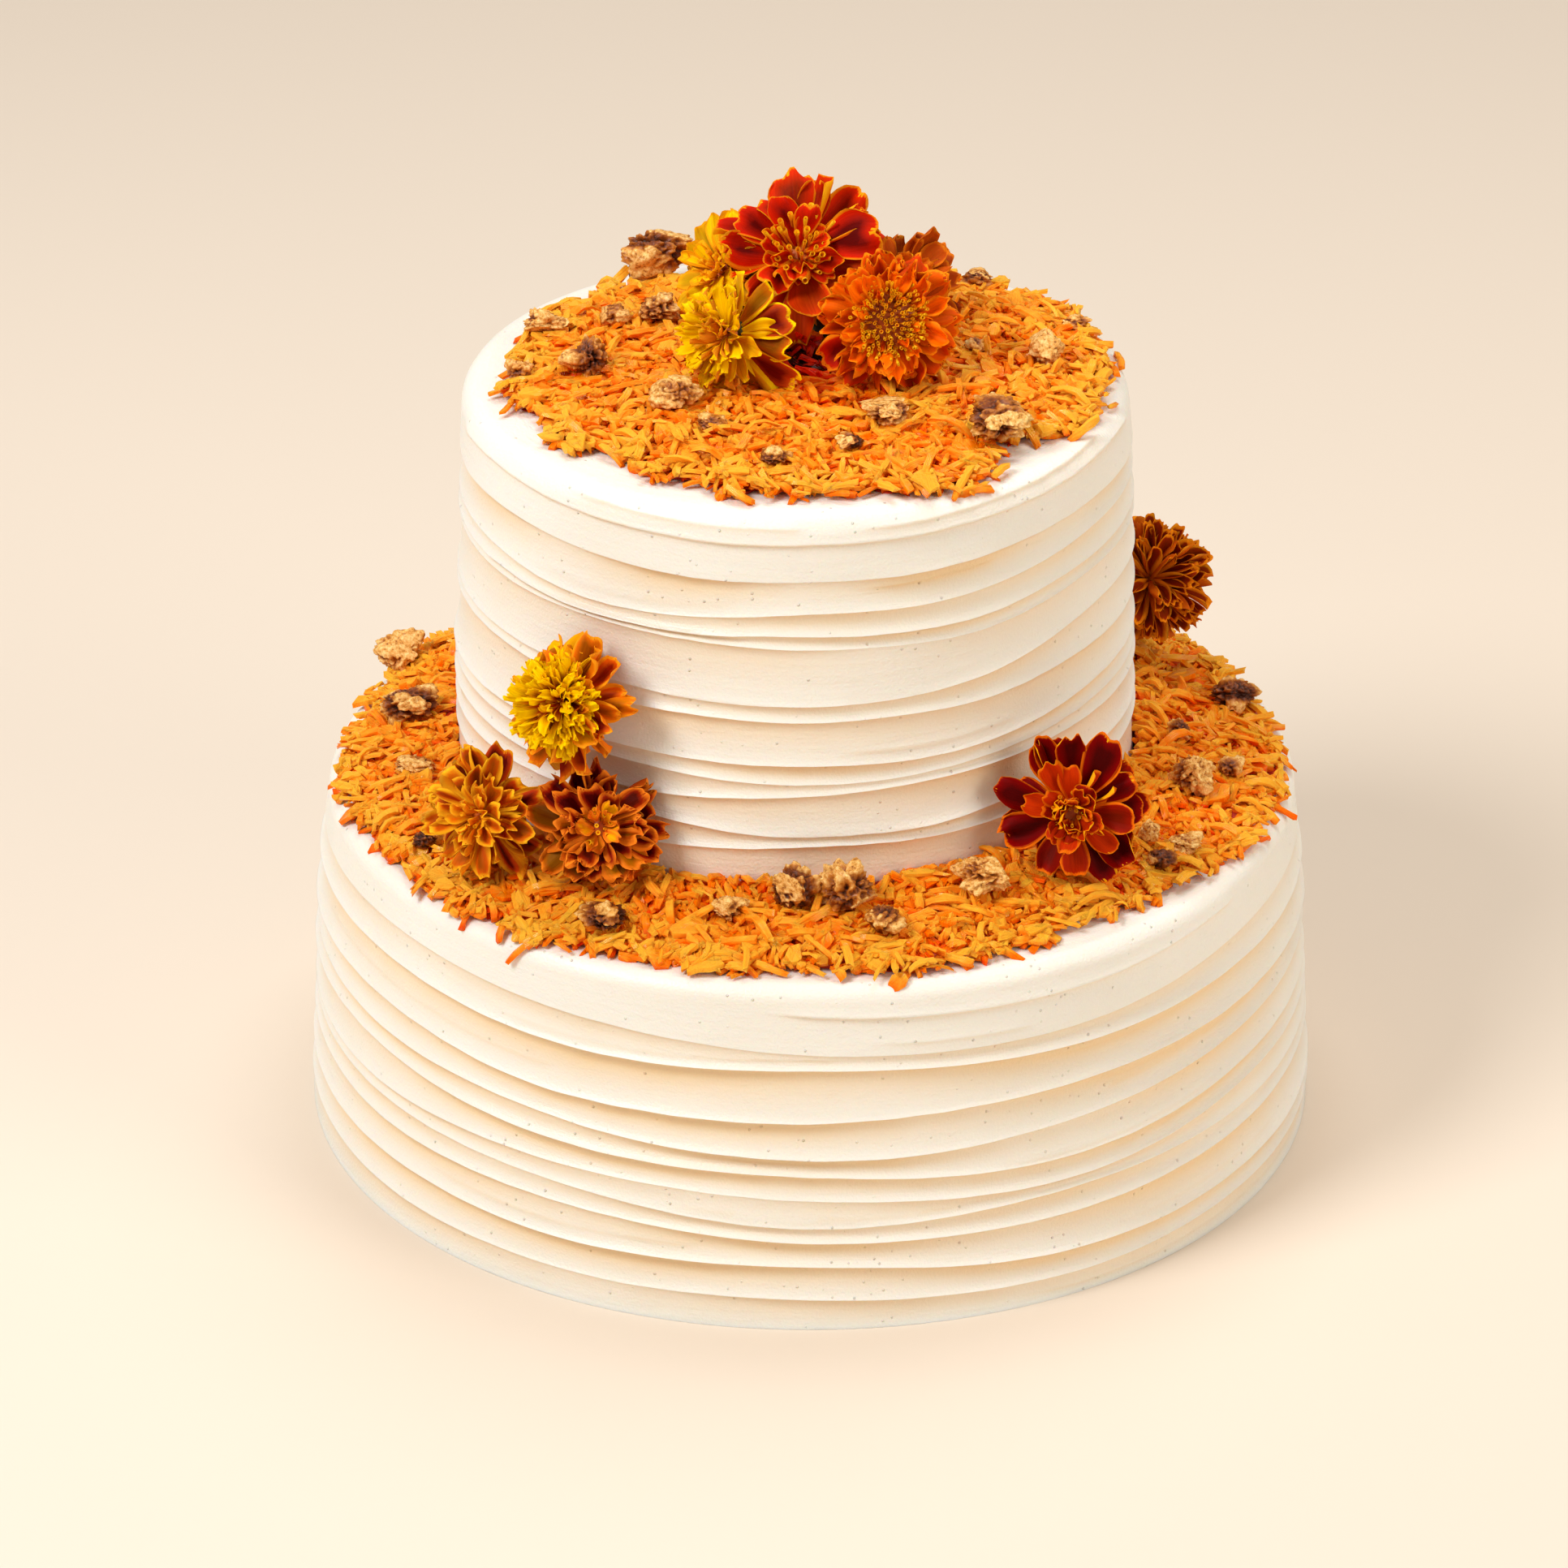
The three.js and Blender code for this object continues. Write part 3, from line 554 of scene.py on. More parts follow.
def joined_shreds(name, shreds, bed):
    """One piece from many shreds: their points and faces, and a tint and a grain for every point."""
    shapes, shape_faces, tint, grain = shreds
    count, shape_points = shapes.shape[:2]
    starts = np.arange(count) * shape_points
    faces = []
    for size in sorted({len(face) for face in shape_faces}):
        wanted = np.array([face for face in shape_faces if len(face) == size])
        faces += (starts[:, None, None] + wanted[None]).reshape(-1, size).tolist()
    piece = mesh_piece(name, shapes.reshape(-1, 3), faces, smooth_angle=42)
    point_values(piece, "tint", tint)
    surface_map(piece, "fibres", grain)
    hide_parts(bed["node"])
    return piece


STATIONS = 5  # cross sections of a strip
STRIP_CORNERS = ((-0.9, -1), (1, -0.7), (0.75, 1), (-0.85, 0.8))  # to the right and up, in halves
STRIP_GRAIN = (0, 0.2, 0.25, 0.05)  # where the fibres run at each corner


def strips(bed, random, count, longest, width, thick):
    """Strips from the grater's holes: bowed, twisted and ragged, torn off blunt at both ends."""
    length = np.clip(random.gamma(6, longest / 12.8, count), 3, longest)
    width = random.uniform(*width, count)
    thick = random.uniform(*thick, count)
    centre, ahead, aside, up, layer, shade = lay_shreds(bed, random, length / 2, count)
    stations = np.linspace(-1, 1, STATIONS)
    bow_up = random.uniform(-0.04, 0.1, count) + 0.2 * (random.uniform(0, 1, count) < 0.06)
    bow_up = bow_up[:, None] * length[:, None]
    bow_aside = random.normal(0, 0.04, count)[:, None] * length[:, None]
    twist = random.normal(0, 0.5, count)[:, None] * stations + random.normal(0, 0.35, count)[:, None]
    ragged = random.uniform(0.8, 1.15, (count, STATIONS))
    half_width = width[:, None] / 2 * ragged * (1 - 0.08 * np.abs(stations) ** 6)
    half_thick = thick[:, None] / 2 * (1 - 0.15 * np.abs(stations) ** 5)
    along = stations[None] * length[:, None] / 2
    torn = random.normal(0, 0.35, (count, STATIONS, 4)) * (np.abs(stations) > 0.9)[None, :, None]
    side_shift = bow_aside * (stations ** 2 - 0.4)
    lift = bow_up * (1 - stations ** 2)
    shapes = np.empty((count, STATIONS, 4, 3))
    for corner, (right, high) in enumerate(STRIP_CORNERS):
        flat = right * half_width
        tall = high * half_thick
        across = flat * np.cos(twist) - tall * np.sin(twist) + side_shift
        above = flat * np.sin(twist) + tall * np.cos(twist) + lift
        shapes[:, :, corner] = (centre[:, None] + ahead[:, None] * (along + torn[..., corner])[..., None]
                                + aside[:, None] * across[..., None] + up[:, None] * above[..., None])
    end = 4 * STATIONS
    faces = [face[::-1] for face in ring_faces(STATIONS, 4)]
    faces += [[0, 1, 2, 3], [end - 1, end - 2, end - 3, end - 4]]
    start = random.uniform(0, 9, (count, 2))
    grain = np.empty((count, STATIONS, 4, 2))
    grain[..., 0] = start[:, 0][:, None, None] + along[:, :, None] / 10
    grain[..., 1] = start[:, 1][:, None, None] + np.array(STRIP_GRAIN)
    shapes = shapes.reshape(count, 4 * STATIONS, 3)
    tint = tint_with_painted_light_and_shade(random, 0.42, shapes, centre, layer, shade)
    return shapes, faces, tint, grain.reshape(count, 4 * STATIONS, 2)


def flakes(bed, random, count):
    """Torn flakes and slices: rounded, dished, and thin at the edge."""
    size = 1.3 + 3.2 * random.beta(1.2, 2.8, count)
    centre, ahead, aside, up, layer, shade = lay_shreds(bed, random, size, count)
    thick = random.uniform(0.5, 1.0, count)
    corners = 8
    angles = np.linspace(0, 2 * math.pi, corners, endpoint=False)
    reach = size[:, None] * random.uniform(0.6, 1.2, (count, corners))
    long_way = reach * np.cos(angles) * random.uniform(1.0, 1.35, count)[:, None]
    short_way = reach * np.sin(angles) * random.uniform(0.6, 0.95, count)[:, None]
    dish = random.normal(0, 0.28, count)[:, None] * (reach / size[:, None]) ** 2 * size[:, None] * 0.5
    dish = dish + random.normal(0, 0.4, (count, corners))
    shapes = np.empty((count, 2 * corners + 2, 3))
    for side, high in ((0, -1), (1, 1)):
        rise = dish + high * thick[:, None] * 0.75
        ring = (centre[:, None] + ahead[:, None] * long_way[..., None] + aside[:, None] * short_way[..., None]
                + up[:, None] * rise[..., None])
        shapes[:, side * corners:(side + 1) * corners] = ring
        shapes[:, 2 * corners + side] = centre + up * (high * thick * 1.1)[:, None]
    faces = []
    for corner in range(corners):
        beside = (corner + 1) % corners
        faces.append([2 * corners, beside, corner])
        faces.append([2 * corners + 1, corners + corner, corners + beside])
        faces.append([corner, beside, corners + beside, corners + corner])
    start = random.uniform(0, 9, (count, 2))
    grain = np.zeros((count, 2 * corners + 2, 2))
    grain[:, :corners, 0] = grain[:, corners:2 * corners, 0] = long_way / 10
    grain[:, :corners, 1] = grain[:, corners:2 * corners, 1] = short_way / 6
    grain += start[:, None]
    tint = tint_with_painted_light_and_shade(random, 0.43, shapes, centre, layer, shade)
    return shapes, faces, tint, grain


# The finish of the carrot: moist orange with pale fibres along each shred, glassy on its wet faces.
# Each point's tint brings in painted light and shade, down to a near-black painted shade under the flowers.
carrot_finish, tree = new_finish("grated_carrot", {
    "Subsurface Weight": 0.4, "Subsurface Radius": (1.0, 0.9, 0.7), "Subsurface Scale": 0.0015,
    "Specular IOR Level": 0.08, "Coat Weight": 0.1, "Coat Roughness": 0.08,
})
fibre_place = add_node(tree, "UVMap", uv_map="fibres").outputs["UV"]
fibre_stretch = add_node(tree, "Mapping", {"Vector": fibre_place, "Scale": (2.2, 26.0, 1.0)}).outputs["Vector"]
fibre = patches(tree, fibre_stretch, 1.0, 3.0)
moist = patches(tree, place_on(tree), 420.0)
ripeness = weighed(tree, moist, 0.45, weighed(tree, fibre, 0.35, -0.1))
ripeness = weighed(tree, stored(tree, "tint"), 0.7, ripeness)
# From near-black painted shade at the bottom, through deep orange, to pale orange.
orange = ramp(tree, ripeness, [
    (0.0, tone(0.20, 0.05, 0.01)), (0.18, tone(0.96, 0.14, 0.0)), (0.4, tone(1.0, 0.33, 0.0)),
    (0.68, tone(1.0, 0.475, 0.0)), (1.0, tone(1.0, 0.69, 0.18)),
])
relief = bumped(tree, moist, 0.6, 0.0007, bumped(tree, fibre, 0.8, 0.0006))
lay_on(tree, orange, relief, spread(tree, moist, 0.35, 0.65, 0.24, 0.5))

# The core's finish: painted shade, the deep orange of shreds that lie in shade.
core_painted_shade_finish, tree = new_finish("carrot_painted_shade", {"Roughness": 0.6})
lumps = patches(tree, place_on(tree), 330.0, 3.0)
painted_shade_orange = ramp(tree, lumps, [(0.35, tone(0.58, 0.07, 0.0)), (0.65, tone(0.88, 0.22, 0.0))])
lay_on(tree, painted_shade_orange, bumped(tree, lumps, 0.9, 0.0015))

for bed in (TOP_BED, LEDGE_BED):
    random = np.random.default_rng(bed["seed"])
    bed_core(bed).data.materials.append(core_painted_shade_finish)
    kinds = dict(
        strips=strips(bed, random, bed["strips"], 14, (1.2, 2.4), (0.8, 1.3)),
        slivers=strips(bed, random, bed["slivers"], 9, (0.7, 1.3), (0.5, 0.9)),
        flakes=flakes(bed, random, bed["flakes"]),
    )
    for kind, shreds in kinds.items():
        joined_shreds(bed["node"] + "_" + kind, shreds, bed).data.materials.append(carrot_finish)


# ---- The walnut pieces ---------------------------------------------------------------------------------
# Chopped walnut in a thin sugar glaze: knobbed lumps with wrinkled brown skin, pale where the knife has
# broken them. Each is one lump cut flat on a side or two, and is pressed into the carrot.
FIRST_NUT_SEED = 300
LARGE_WALNUT = 8 * MM  # from this size on, a piece has more knobs and a finer mesh
LUMP_RADIUS = 0.66  # of a lump before its knobs, where 1 is its reach
BARE_CRUST, BARE_ROUGHNESS = 0.9, 0.75  # a whole bare kernel is smoother
KNOB_WIDTH, CREASE_WIDTH = 0.1, 0.09
WRINKLED, CRUMBLY, CREASED = 0.14, 0.15, 0.13  # how far each moves the skin, as a share of the lump
NUT_REACH = (0.58, 0.58, 0.64)  # half the size of a lump, as a share of the room it has
NUT_LIFT, NUT_SEAT, NUT_DROP = 1.1, 1.2, 2.5  # up out of the heap, its foot's height over it, the most it drops

# How dark the skin is, and the share of pale crust, in the order of the nodes.
WALNUT_LOOKS = [
    (0.6, 0.45), (0.3, 0.7), (0.4, 0.6), (0.4, 0.7), (0.8, 0.25), (0.4, 0.5), (0.3, 0.9), (0.4, 0.6),
    (0.6, 0.45), (0.85, 0.1), (0.45, 0.7), (0.65, 0.35), (0.1, 1.0), (0.5, 0.3), (0.4, 0.5), (0.5, 0.5),
    (0.4, 0.6), (0.25, 0.9), (0.8, 0.5), (0.35, 0.7), (0.85, 0.25), (0.95, 0.12), (0.4, 0.65), (0.8, 0.4),
    (0.55, 0.5), (0.6, 0.45), (0.35, 0.75), (0.85, 0.25), (0.65, 0.3), (0.35, 0.75), (0.5, 0.5), (0.1, 1.0),
    (0.2, 0.9), (0.8, 0.3), (0.5, 0.5), (0.6, 0.45), (0.4, 0.6), (0.5, 0.5), (0.4, 0.6),
]
LARGER_WALNUTS = {"walnut_12": 1.18, "walnut_26": 1.2, "walnut_30": 1.15, "walnut_05": 1.08, "walnut_24": 1.1}

walnut_finish, tree = new_finish("glazed_walnut", {
    "Subsurface Weight": 0.08, "Subsurface Radius": (1.0, 0.6, 0.3), "Subsurface Scale": 0.0015,
    "Specular IOR Level": 0.25, "Coat Weight": 0.1, "Coat Roughness": 0.15,
})
speckle = patches(tree, place_on(tree), 900.0, 4.0, 0.7)
blotch = patches(tree, place_on(tree), 330.0, 3.0)
skin_share = weighed(tree, speckle, 0.75, weighed(tree, stored(tree, "darkness"), -0.55, 0.42))
# Painted light and shade: raised parts of a lump get lighter skin and more pale crust, its hollows darker skin.
lump_height_for_shade = stored(tree, "relief")
skin_share = weighed(tree, lump_height_for_shade, 0.5, skin_share)
skin = ramp(tree, skin_share, [
    (0.05, tone(0.24, 0.08, 0.01)), (0.3, tone(0.50, 0.23, 0.04)), (0.55, tone(0.75, 0.45, 0.13)),
    (0.85, tone(0.92, 0.67, 0.31)),
])
pale = ramp(tree, speckle, [
    (0.32, tone(0.54, 0.27, 0.06)), (0.46, tone(0.87, 0.62, 0.28)), (0.68, tone(1.0, 0.87, 0.58)),
])
crust_share = weighed(tree, stored(tree, "crust"), 1.0, weighed(tree, blotch, 1.4, -1.2))
crust_share = spread(tree, weighed(tree, lump_height_for_shade, 0.8, crust_share), 0.05, 0.4)
relief = bumped(tree, speckle, 0.5, 0.0005, bumped(tree, blotch, 0.5, 0.0008))
lay_on(tree, blended(tree, crust_share, skin, pale), relief, spread(tree, blotch, 0.35, 0.65, 0.3, 0.6))

walnut_nodes = sorted(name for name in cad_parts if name.startswith("walnut_"))
for number, node_name in enumerate(walnut_nodes):
    random = np.random.default_rng(FIRST_NUT_SEED + number)
    low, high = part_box(node_name)
    middle, size = (low + high) / 2, high - low
    darkness, crust = WALNUT_LOOKS[number]
    large = max(size) > LARGE_WALNUT
    bpy.ops.object.select_all(action="DESELECT")
    bpy.ops.mesh.primitive_ico_sphere_add(subdivisions=5 if large else 4, radius=1)
    piece = bpy.context.active_object
    piece.name = node_name + "_nut"
    knob_count = 10 if large else 7
    knobs = [Vector(random.normal(0, 1, 3)).normalized() for _ in range(knob_count)]
    knob_reach = random.uniform(0.12, 0.42, knob_count)
    cuts = [(Vector(random.normal(0, 1, 3)).normalized(), random.uniform(0.62, 0.8)) for _ in range(2)]
    offset = Vector(random.uniform(0, 50, 3))
    rough = BARE_ROUGHNESS if crust >= BARE_CRUST else 1
    shape, relief_values, crust_values = [], [], []
    for vertex in piece.data.vertices:
        spot = vertex.co.normalized()
        knobbed = sum(reach * math.exp(-((1 - spot.dot(knob)) / KNOB_WIDTH))
                      for knob, reach in zip(knobs, knob_reach))
        wrinkle = noise.ridged_multi_fractal(spot * 1.8 + offset, 0.9, 2.2, 4, 0.9, 1.8) - 1.1
        crumb = noise.noise(spot * 3.6 + offset) + 0.5 * noise.noise(spot * 8 + offset)
        crease = sum(math.exp(-(noise.noise(spot * 1.3 + offset * turn) / CREASE_WIDTH) ** 2)
                     for turn in (2, 3))
        radius = LUMP_RADIUS + knobbed + rough * (WRINKLED * wrinkle + CRUMBLY * crumb - CREASED * crease)
        moved = spot * radius
        broken = 0.0
        for direction, distance in cuts:
            over = moved.dot(direction) - distance * 0.8
            if over > 0:
                moved -= direction * over * 0.9
                broken = 0.5
        shape.append(moved)
        relief_values.append(max(-1, min(1, (radius - 0.70) * 3.4)))
        crust_values.append(crust + broken * (0.5 + crust))
    shape = np.array(shape)
    reach = np.array([max(abs(shape[:, axis].min()), abs(shape[:, axis].max())) for axis in range(3)])
    grow = np.array(NUT_REACH) * LARGER_WALNUTS.get(node_name, 1)
    shape = shape / reach * np.array(size) * grow + np.array(middle) + (0, 0, NUT_LIFT * MM)
    bed = TOP_BED if middle[2] > TOP_BED["floor"] * MM else LEDGE_BED
    surface = bed["floor"] + bed_height(bed, *np.array(middle)[:2, None] / MM)[0]
    hovering = shape[:, 2].min() - (surface + NUT_SEAT) * MM
    shape[:, 2] -= np.clip(hovering, 0, NUT_DROP * MM)
    piece.data.vertices.foreach_set("co", shape.ravel())
    piece.data.polygons.foreach_set("use_smooth", np.ones(len(piece.data.polygons), bool))
    # The relief values carry the painted light and shade by height on the lump.
    point_values(piece, "relief", relief_values)
    point_values(piece, "crust", crust_values)
    point_values(piece, "darkness", np.full(len(shape), darkness))
    piece.data.materials.append(walnut_finish)
    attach(piece, "root")
    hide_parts(node_name)


# ---- The marigolds -------------------------------------------------------------------------------------
# Fresh marigold heads pushed into the icing by their stems: velvety petals that deepen towards their feet and
# have thin bright rims, round a heart of small tube florets, over a ribbed green cup. Seen from the front of a
# head, a petal's turn starts at the right and runs anticlockwise, and it rises from the plane of the head.
FIRST_HEAD_SEED = 500
PETAL_ROWS, PETAL_COLUMNS, PATH_STEPS = 10, 15, 60
PETAL_DEPTH = 6  # how far in from a petal's rim its colours reach
RIM_THICK, PETAL_THICK = 0.12, 0.26
PLAIN_RUFFLE, PLAIN_CUP, PLAIN_BLEND, PLAIN_START = 1.0, 0.1, 0.42, 1.5  # where a head says nothing else
FLORET_TURN = 2.4  # radians from one floret to the next, as in any daisy
FLORET_SIDES, DISC_SIDES, CUP_SIDES, STEM_SIDES = 8, 16, 20, 10
CUP_PROFILE = [(0, -0.62), (0.1, -0.61), (0.17, -0.5), (0.2, -0.3), (0.23, -0.12), (0.24, -0.02), (0.14, 0.02),
               (0, 0.03)]  # radius and height, as shares of the head's radius
GOLD, YELLOW = tone(0.98, 0.66, 0.04), tone(1.0, 0.81, 0.0)

# Each head: centre, azimuth and elevation of its face, radius, and where its stem goes in. Its colours from
# the depth of a petal to its rim, its second colour, its backs, how wide the rim and the body colour are, and
# how wide the blend between them is. Cup, ruffle and start: how dished and how wavy its petals are, and how far
# from the middle they start. Rings: count, rise, length, half width, share of the second colour. Petals: turn,
# rise, length, half width, roll, share. Shade leaves, dark green leaves hung low under a head that are also
# painted shade in the hollow beneath it: turn, rise, length, half width. Dome, a ball of small petals:
# count, how far round it goes in degrees, shortest, longest, narrowest, widest, how dished. Florets: count,
# radius of the heart that they fill, height, half width.
MARIGOLDS = [
    dict(
        slot="marigold_red", centre=(-3, 14, 212), azimuth=-3, elevation=42, radius=20.5, foot=(-3, 20, 192),
        deep=tone(0.36, 0.01, 0), body=tone(0.84, 0.12, 0), rim=tone(0.97, 0.56, 0.05),
        second=tone(0.94, 0.32, 0.01), back=GOLD, rim_width=0.3, body_width=4.2, ruffle=1.3,
        rings=[(12, -24, 17, 4.4, 0.05), (11, 46, 11, 3, 0.15)],
        petals=[
            (100, 20, 20.5, 6.2, 0, 0.15), (76, 16, 18.5, 4.2, 0, 0.1), (112, 40, 15, 4, 0, 0),
            (84, 46, 13, 3.6, 10, 0), (58, 26, 19, 3.4, 65, 0.3), (42, 30, 20, 3.6, -50, 0.2),
            (31, 34, 21, 3.2, 55, 0.2), (19, 24, 21.5, 7, 0, 0), (11, -2, 25, 6.4, 10, 0.2),
            (48, 4, 22, 5, 0, 0.1), (-30, 16, 20, 7.4, -8, 0.35), (-8, 40, 13, 3.6, 30, 0.1),
            (-58, 8, 19, 5, 20, 0.3), (-96, 46, 13, 4.8, 0, 0.5), (-78, 20, 18, 5.6, 8, 0.45),
            (-88, -2, 22.5, 5, 18, 0.45), (-108, 2, 23, 4.2, -25, 0.35), (-124, 34, 15, 4.8, 0, 0.05),
            (-150, 14, 18, 3, 60, 0.2), (-160, 22, 16, 2.8, -60, 0.1), (184, 14, 19, 5, 0, 0),
            (176, 42, 12, 3.2, 0, 0), (163, 12, 22, 3.6, 35, 0), (170, 4, 19, 3.2, -75, 0.2),
            (150, 20, 18, 4.6, 0, 0), (132, 26, 17.5, 4, 40, 0.1),
        ],
        leaves=[
            (-70, -48, 22, 5), (-95, -36, 24, 5.5), (-120, -50, 22, 5), (-50, -60, 20, 4),
            (-84, -66, 21, 5.5), (-140, -40, 18, 4), (-104, -24, 25, 5), (-78, -26, 25, 5),
        ],
        florets=(34, 4.6, 11, 0.42),
    ),
    dict(
        slot="marigold_yellow", centre=(-19, -16, 205), azimuth=-58, elevation=14, radius=15.3,
        foot=(-9, -9, 192), deep=tone(0.42, 0.05, 0.01), body=tone(0.76, 0.27, 0.05), rim=YELLOW,
        second=YELLOW, back=tone(0.88, 0.52, 0.08), rim_width=0.7, body_width=3.4, cup=0.15, ruffle=1.7,
        rings=[
            (11, 4, 13.5, 2.9, 0.8), (13, 20, 13, 2.3, 1), (15, 38, 12.5, 1.9, 1), (13, 56, 11.5, 1.7, 1),
            (8, 76, 10, 1.5, 1),
        ],
        petals=[
            (38, -26, 17, 4.9, 0, 0), (4, -30, 17, 4.8, 12, 0.1), (-28, -28, 19.5, 5, 0, 0),
            (-58, -24, 19, 4.4, 0, 0.35), (72, -20, 15, 4, 0, 0.2), (-92, -14, 15, 4, 0, 0.6),
            (110, -14, 15, 4, 0, 0.5), (150, -14, 15, 4, 0, 0.2), (190, -14, 14, 4, 0, 0.2),
            (232, -12, 15, 4, 0, 0.5),
        ],
        florets=(16, 2.6, 9, 0.35),
    ),
    dict(
        slot="marigold_orange", centre=(17.6, -16, 208.4), azimuth=6, elevation=22, radius=17.8,
        foot=(14, -5, 192), deep=tone(0.42, 0.02, 0), body=tone(0.84, 0.13, 0), rim=tone(1, 0.52, 0.03),
        second=tone(1, 0.43, 0), back=tone(0.72, 0.20, 0.02), rim_width=0.4, body_width=3.2, cup=0.15,
        ruffle=1.9, start=4.6,
        rings=[
            (11, 2, 16, 3.9, 0.6), (14, 18, 14.8, 3.0, 0.85), (13, 36, 12.4, 2.2, 1), (9, 50, 9.2, 1.6, 0.9),
        ],
        petals=[
            (205, -14, 18.5, 4.2, 0, 0), (236, -14, 18, 4.2, 0, 0.1), (262, -16, 18, 4, 0, 0.1),
            (292, -12, 17, 4.2, 0, 0.2), (318, -14, 17, 4, 0, 0.4), (350, -14, 17.5, 4.4, 0, 0.6),
            (30, -14, 18, 4.6, 0, 0.3), (62, -18, 18, 4.8, 0, 0.2), (96, -18, 17, 4.6, 0, 0.3),
            (130, -14, 15.5, 4, 0, 0.8), (168, -12, 17, 4.2, 0, 0.5), (136, 30, 14, 3.4, 0, 1),
            (262, 26, 13.5, 3.4, 0, 1), (62, 22, 15, 4.2, 0, 0.95),
        ],
        florets=(250, 6.4, 6.6, 0.26),
    ),
    dict(
        slot="marigold_yellow", centre=(-21, 18, 206.5), azimuth=-50, elevation=35, radius=14.5,
        foot=(-14, 22, 192), deep=tone(0.34, 0.09, 0.02), body=tone(0.66, 0.34, 0.07), rim=GOLD,
        second=YELLOW, back=GOLD, rim_width=0.5, body_width=3,
        rings=[
            (10, -16, 14.5, 3.8, 0.25), (9, 6, 13, 3.2, 0.4), (9, 28, 11.5, 2.6, 0.8), (8, 50, 9, 2, 1),
        ],
        petals=[(95, 10, 15, 3.6, 0, 1), (128, 4, 15, 3.4, 30, 0.9)], florets=(20, 3, 6, 0.35),
    ),
    dict(
        slot="marigold_red", centre=(22, 13, 205.6), azimuth=22, elevation=44, radius=15, foot=(18, 20, 192),
        deep=tone(0.32, 0.05, 0.01), body=tone(0.58, 0.18, 0.03), rim=tone(0.88, 0.45, 0.06),
        second=tone(0.84, 0.36, 0.04), back=tone(0.66, 0.28, 0.05), rim_width=0.4, body_width=3.2,
        rings=[
            (11, -16, 15.5, 4.2, 0), (10, 8, 14, 3.4, 0.3), (9, 30, 12, 2.8, 0.6), (8, 52, 9, 2.2, 0.9),
        ],
        petals=[(80, 30, 15, 3.4, 40, 0.6)], florets=(20, 3, 6, 0.35),
    ),
    dict(
        slot="marigold_yellow", centre=(-56.5, -75.4, 139), azimuth=-44, elevation=14, radius=17.4,
        foot=(-49, -67, 135), deep=tone(0.52, 0.10, 0), body=tone(0.90, 0.37, 0.02), rim=tone(1, 0.62, 0.08),
        second=YELLOW, back=tone(0.92, 0.46, 0.05), rim_width=0.6, body_width=2.6, cup=0.15, ruffle=1.8,
        rings=[(13, -14, 15.5, 3.6, 0.1), (13, 8, 14, 3.2, 0.3)],
        petals=[
            (74, -8, 18, 3.6, 25, 0.1), (48, -20, 17, 3.2, 0, 0), (100, -6, 16.5, 3.6, 0, 0.5),
            (128, -4, 16, 3.6, 0, 0.7), (12, -24, 17.5, 3.2, 0, 0.15), (-14, -8, 14.5, 3.6, 0, 0),
            (-42, -14, 16, 3, 30, 0.1), (-66, -6, 17.5, 3.4, 0, 0), (-88, -4, 18.5, 3.6, 0, 0),
            (-112, 0, 17.5, 3.6, 0, 0.1), (-138, 4, 16, 3.4, 0, 0.3), (166, 0, 15, 3.4, 0, 0.5),
            (205, 0, 15, 3.4, 0, 0.4), (20, 24, 10, 3, 0, 0), (-22, 26, 10, 2.8, 0, 0),
            (-60, 24, 11, 2.8, 0, 0.2),
        ],
        dome=(210, 76, 10, 13.5, 1.0, 1.8, 0), florets=(24, 3, 6, 0.3),
    ),
    dict(
        slot="marigold_bronze", centre=(-76.4, -69, 107), azimuth=-38, elevation=12, radius=16,
        foot=(-66, -58, 95), deep=tone(0.32, 0.01, 0), body=tone(0.73, 0.22, 0.01), rim=tone(1, 0.71, 0.10),
        second=tone(0.93, 0.50, 0.03), back=tone(0.90, 0.50, 0.05), rim_width=0.4, rim_blend=1.0,
        body_width=2.6, cup=0.35, ruffle=1.6,
        rings=[
            (14, -12, 16, 3.8, 0.1), (13, 10, 14.5, 3.2, 0.25), (10, 32, 12, 2.5, 0.35), (8, 52, 9.5, 2, 0.5),
            (5, 74, 7.5, 1.6, 0.8),
        ],
        petals=[
            (28, -2, 18, 3.6, 0, 0), (85, 8, 17, 2.8, 40, 0.4), (105, 4, 17, 2.8, -30, 0.4),
            (-50, -6, 17.5, 3.8, 0, 0),
        ],
        florets=(8, 1.5, 6, 0.35),
    ),
    dict(
        slot="marigold_bronze", centre=(-49, -79.6, 108.8), azimuth=-3, elevation=28, radius=16.5,
        foot=(-48, -71, 96), deep=tone(0.28, 0, 0), body=tone(0.56, 0.10, 0), rim=tone(0.99, 0.52, 0.11),
        second=tone(1, 0.68, 0.02), back=tone(0.68, 0.25, 0.03), rim_width=0.3, rim_blend=1.1, body_width=2.3,
        cup=0.25, ruffle=1.8,
        rings=[(13, 26, 11.5, 3.3, 0), (13, 8, 13.5, 3.7, 0.05), (10, 50, 8, 2.4, 0.75)],
        petals=[
            (148, 4, 17, 4.4, 0, 0), (126, -8, 15, 3.4, 0, 0), (100, 2, 15.5, 3.8, 20, 0),
            (62, 8, 16.5, 2.7, 45, 0.1), (34, -4, 15, 3.6, 0, 0), (4, 0, 16.5, 3.1, 20, 0),
            (-24, -2, 15.5, 3.3, 0, 0), (-58, 0, 14, 3.8, 0, 0.1), (-90, 4, 13, 3.8, 0, 0),
            (-120, 0, 14, 3.6, 0, 0.1), (-147, -4, 17, 3.6, 0, 0.2), (176, -4, 17.5, 4, 0, 0.1),
            (200, 8, 14.5, 3.2, 30, 0.1),
        ],
        florets=(16, 2.4, 5, 0.35),
    ),
    dict(
        slot="marigold_red", centre=(60, -73.4, 110), azimuth=0, elevation=14, radius=18.8,
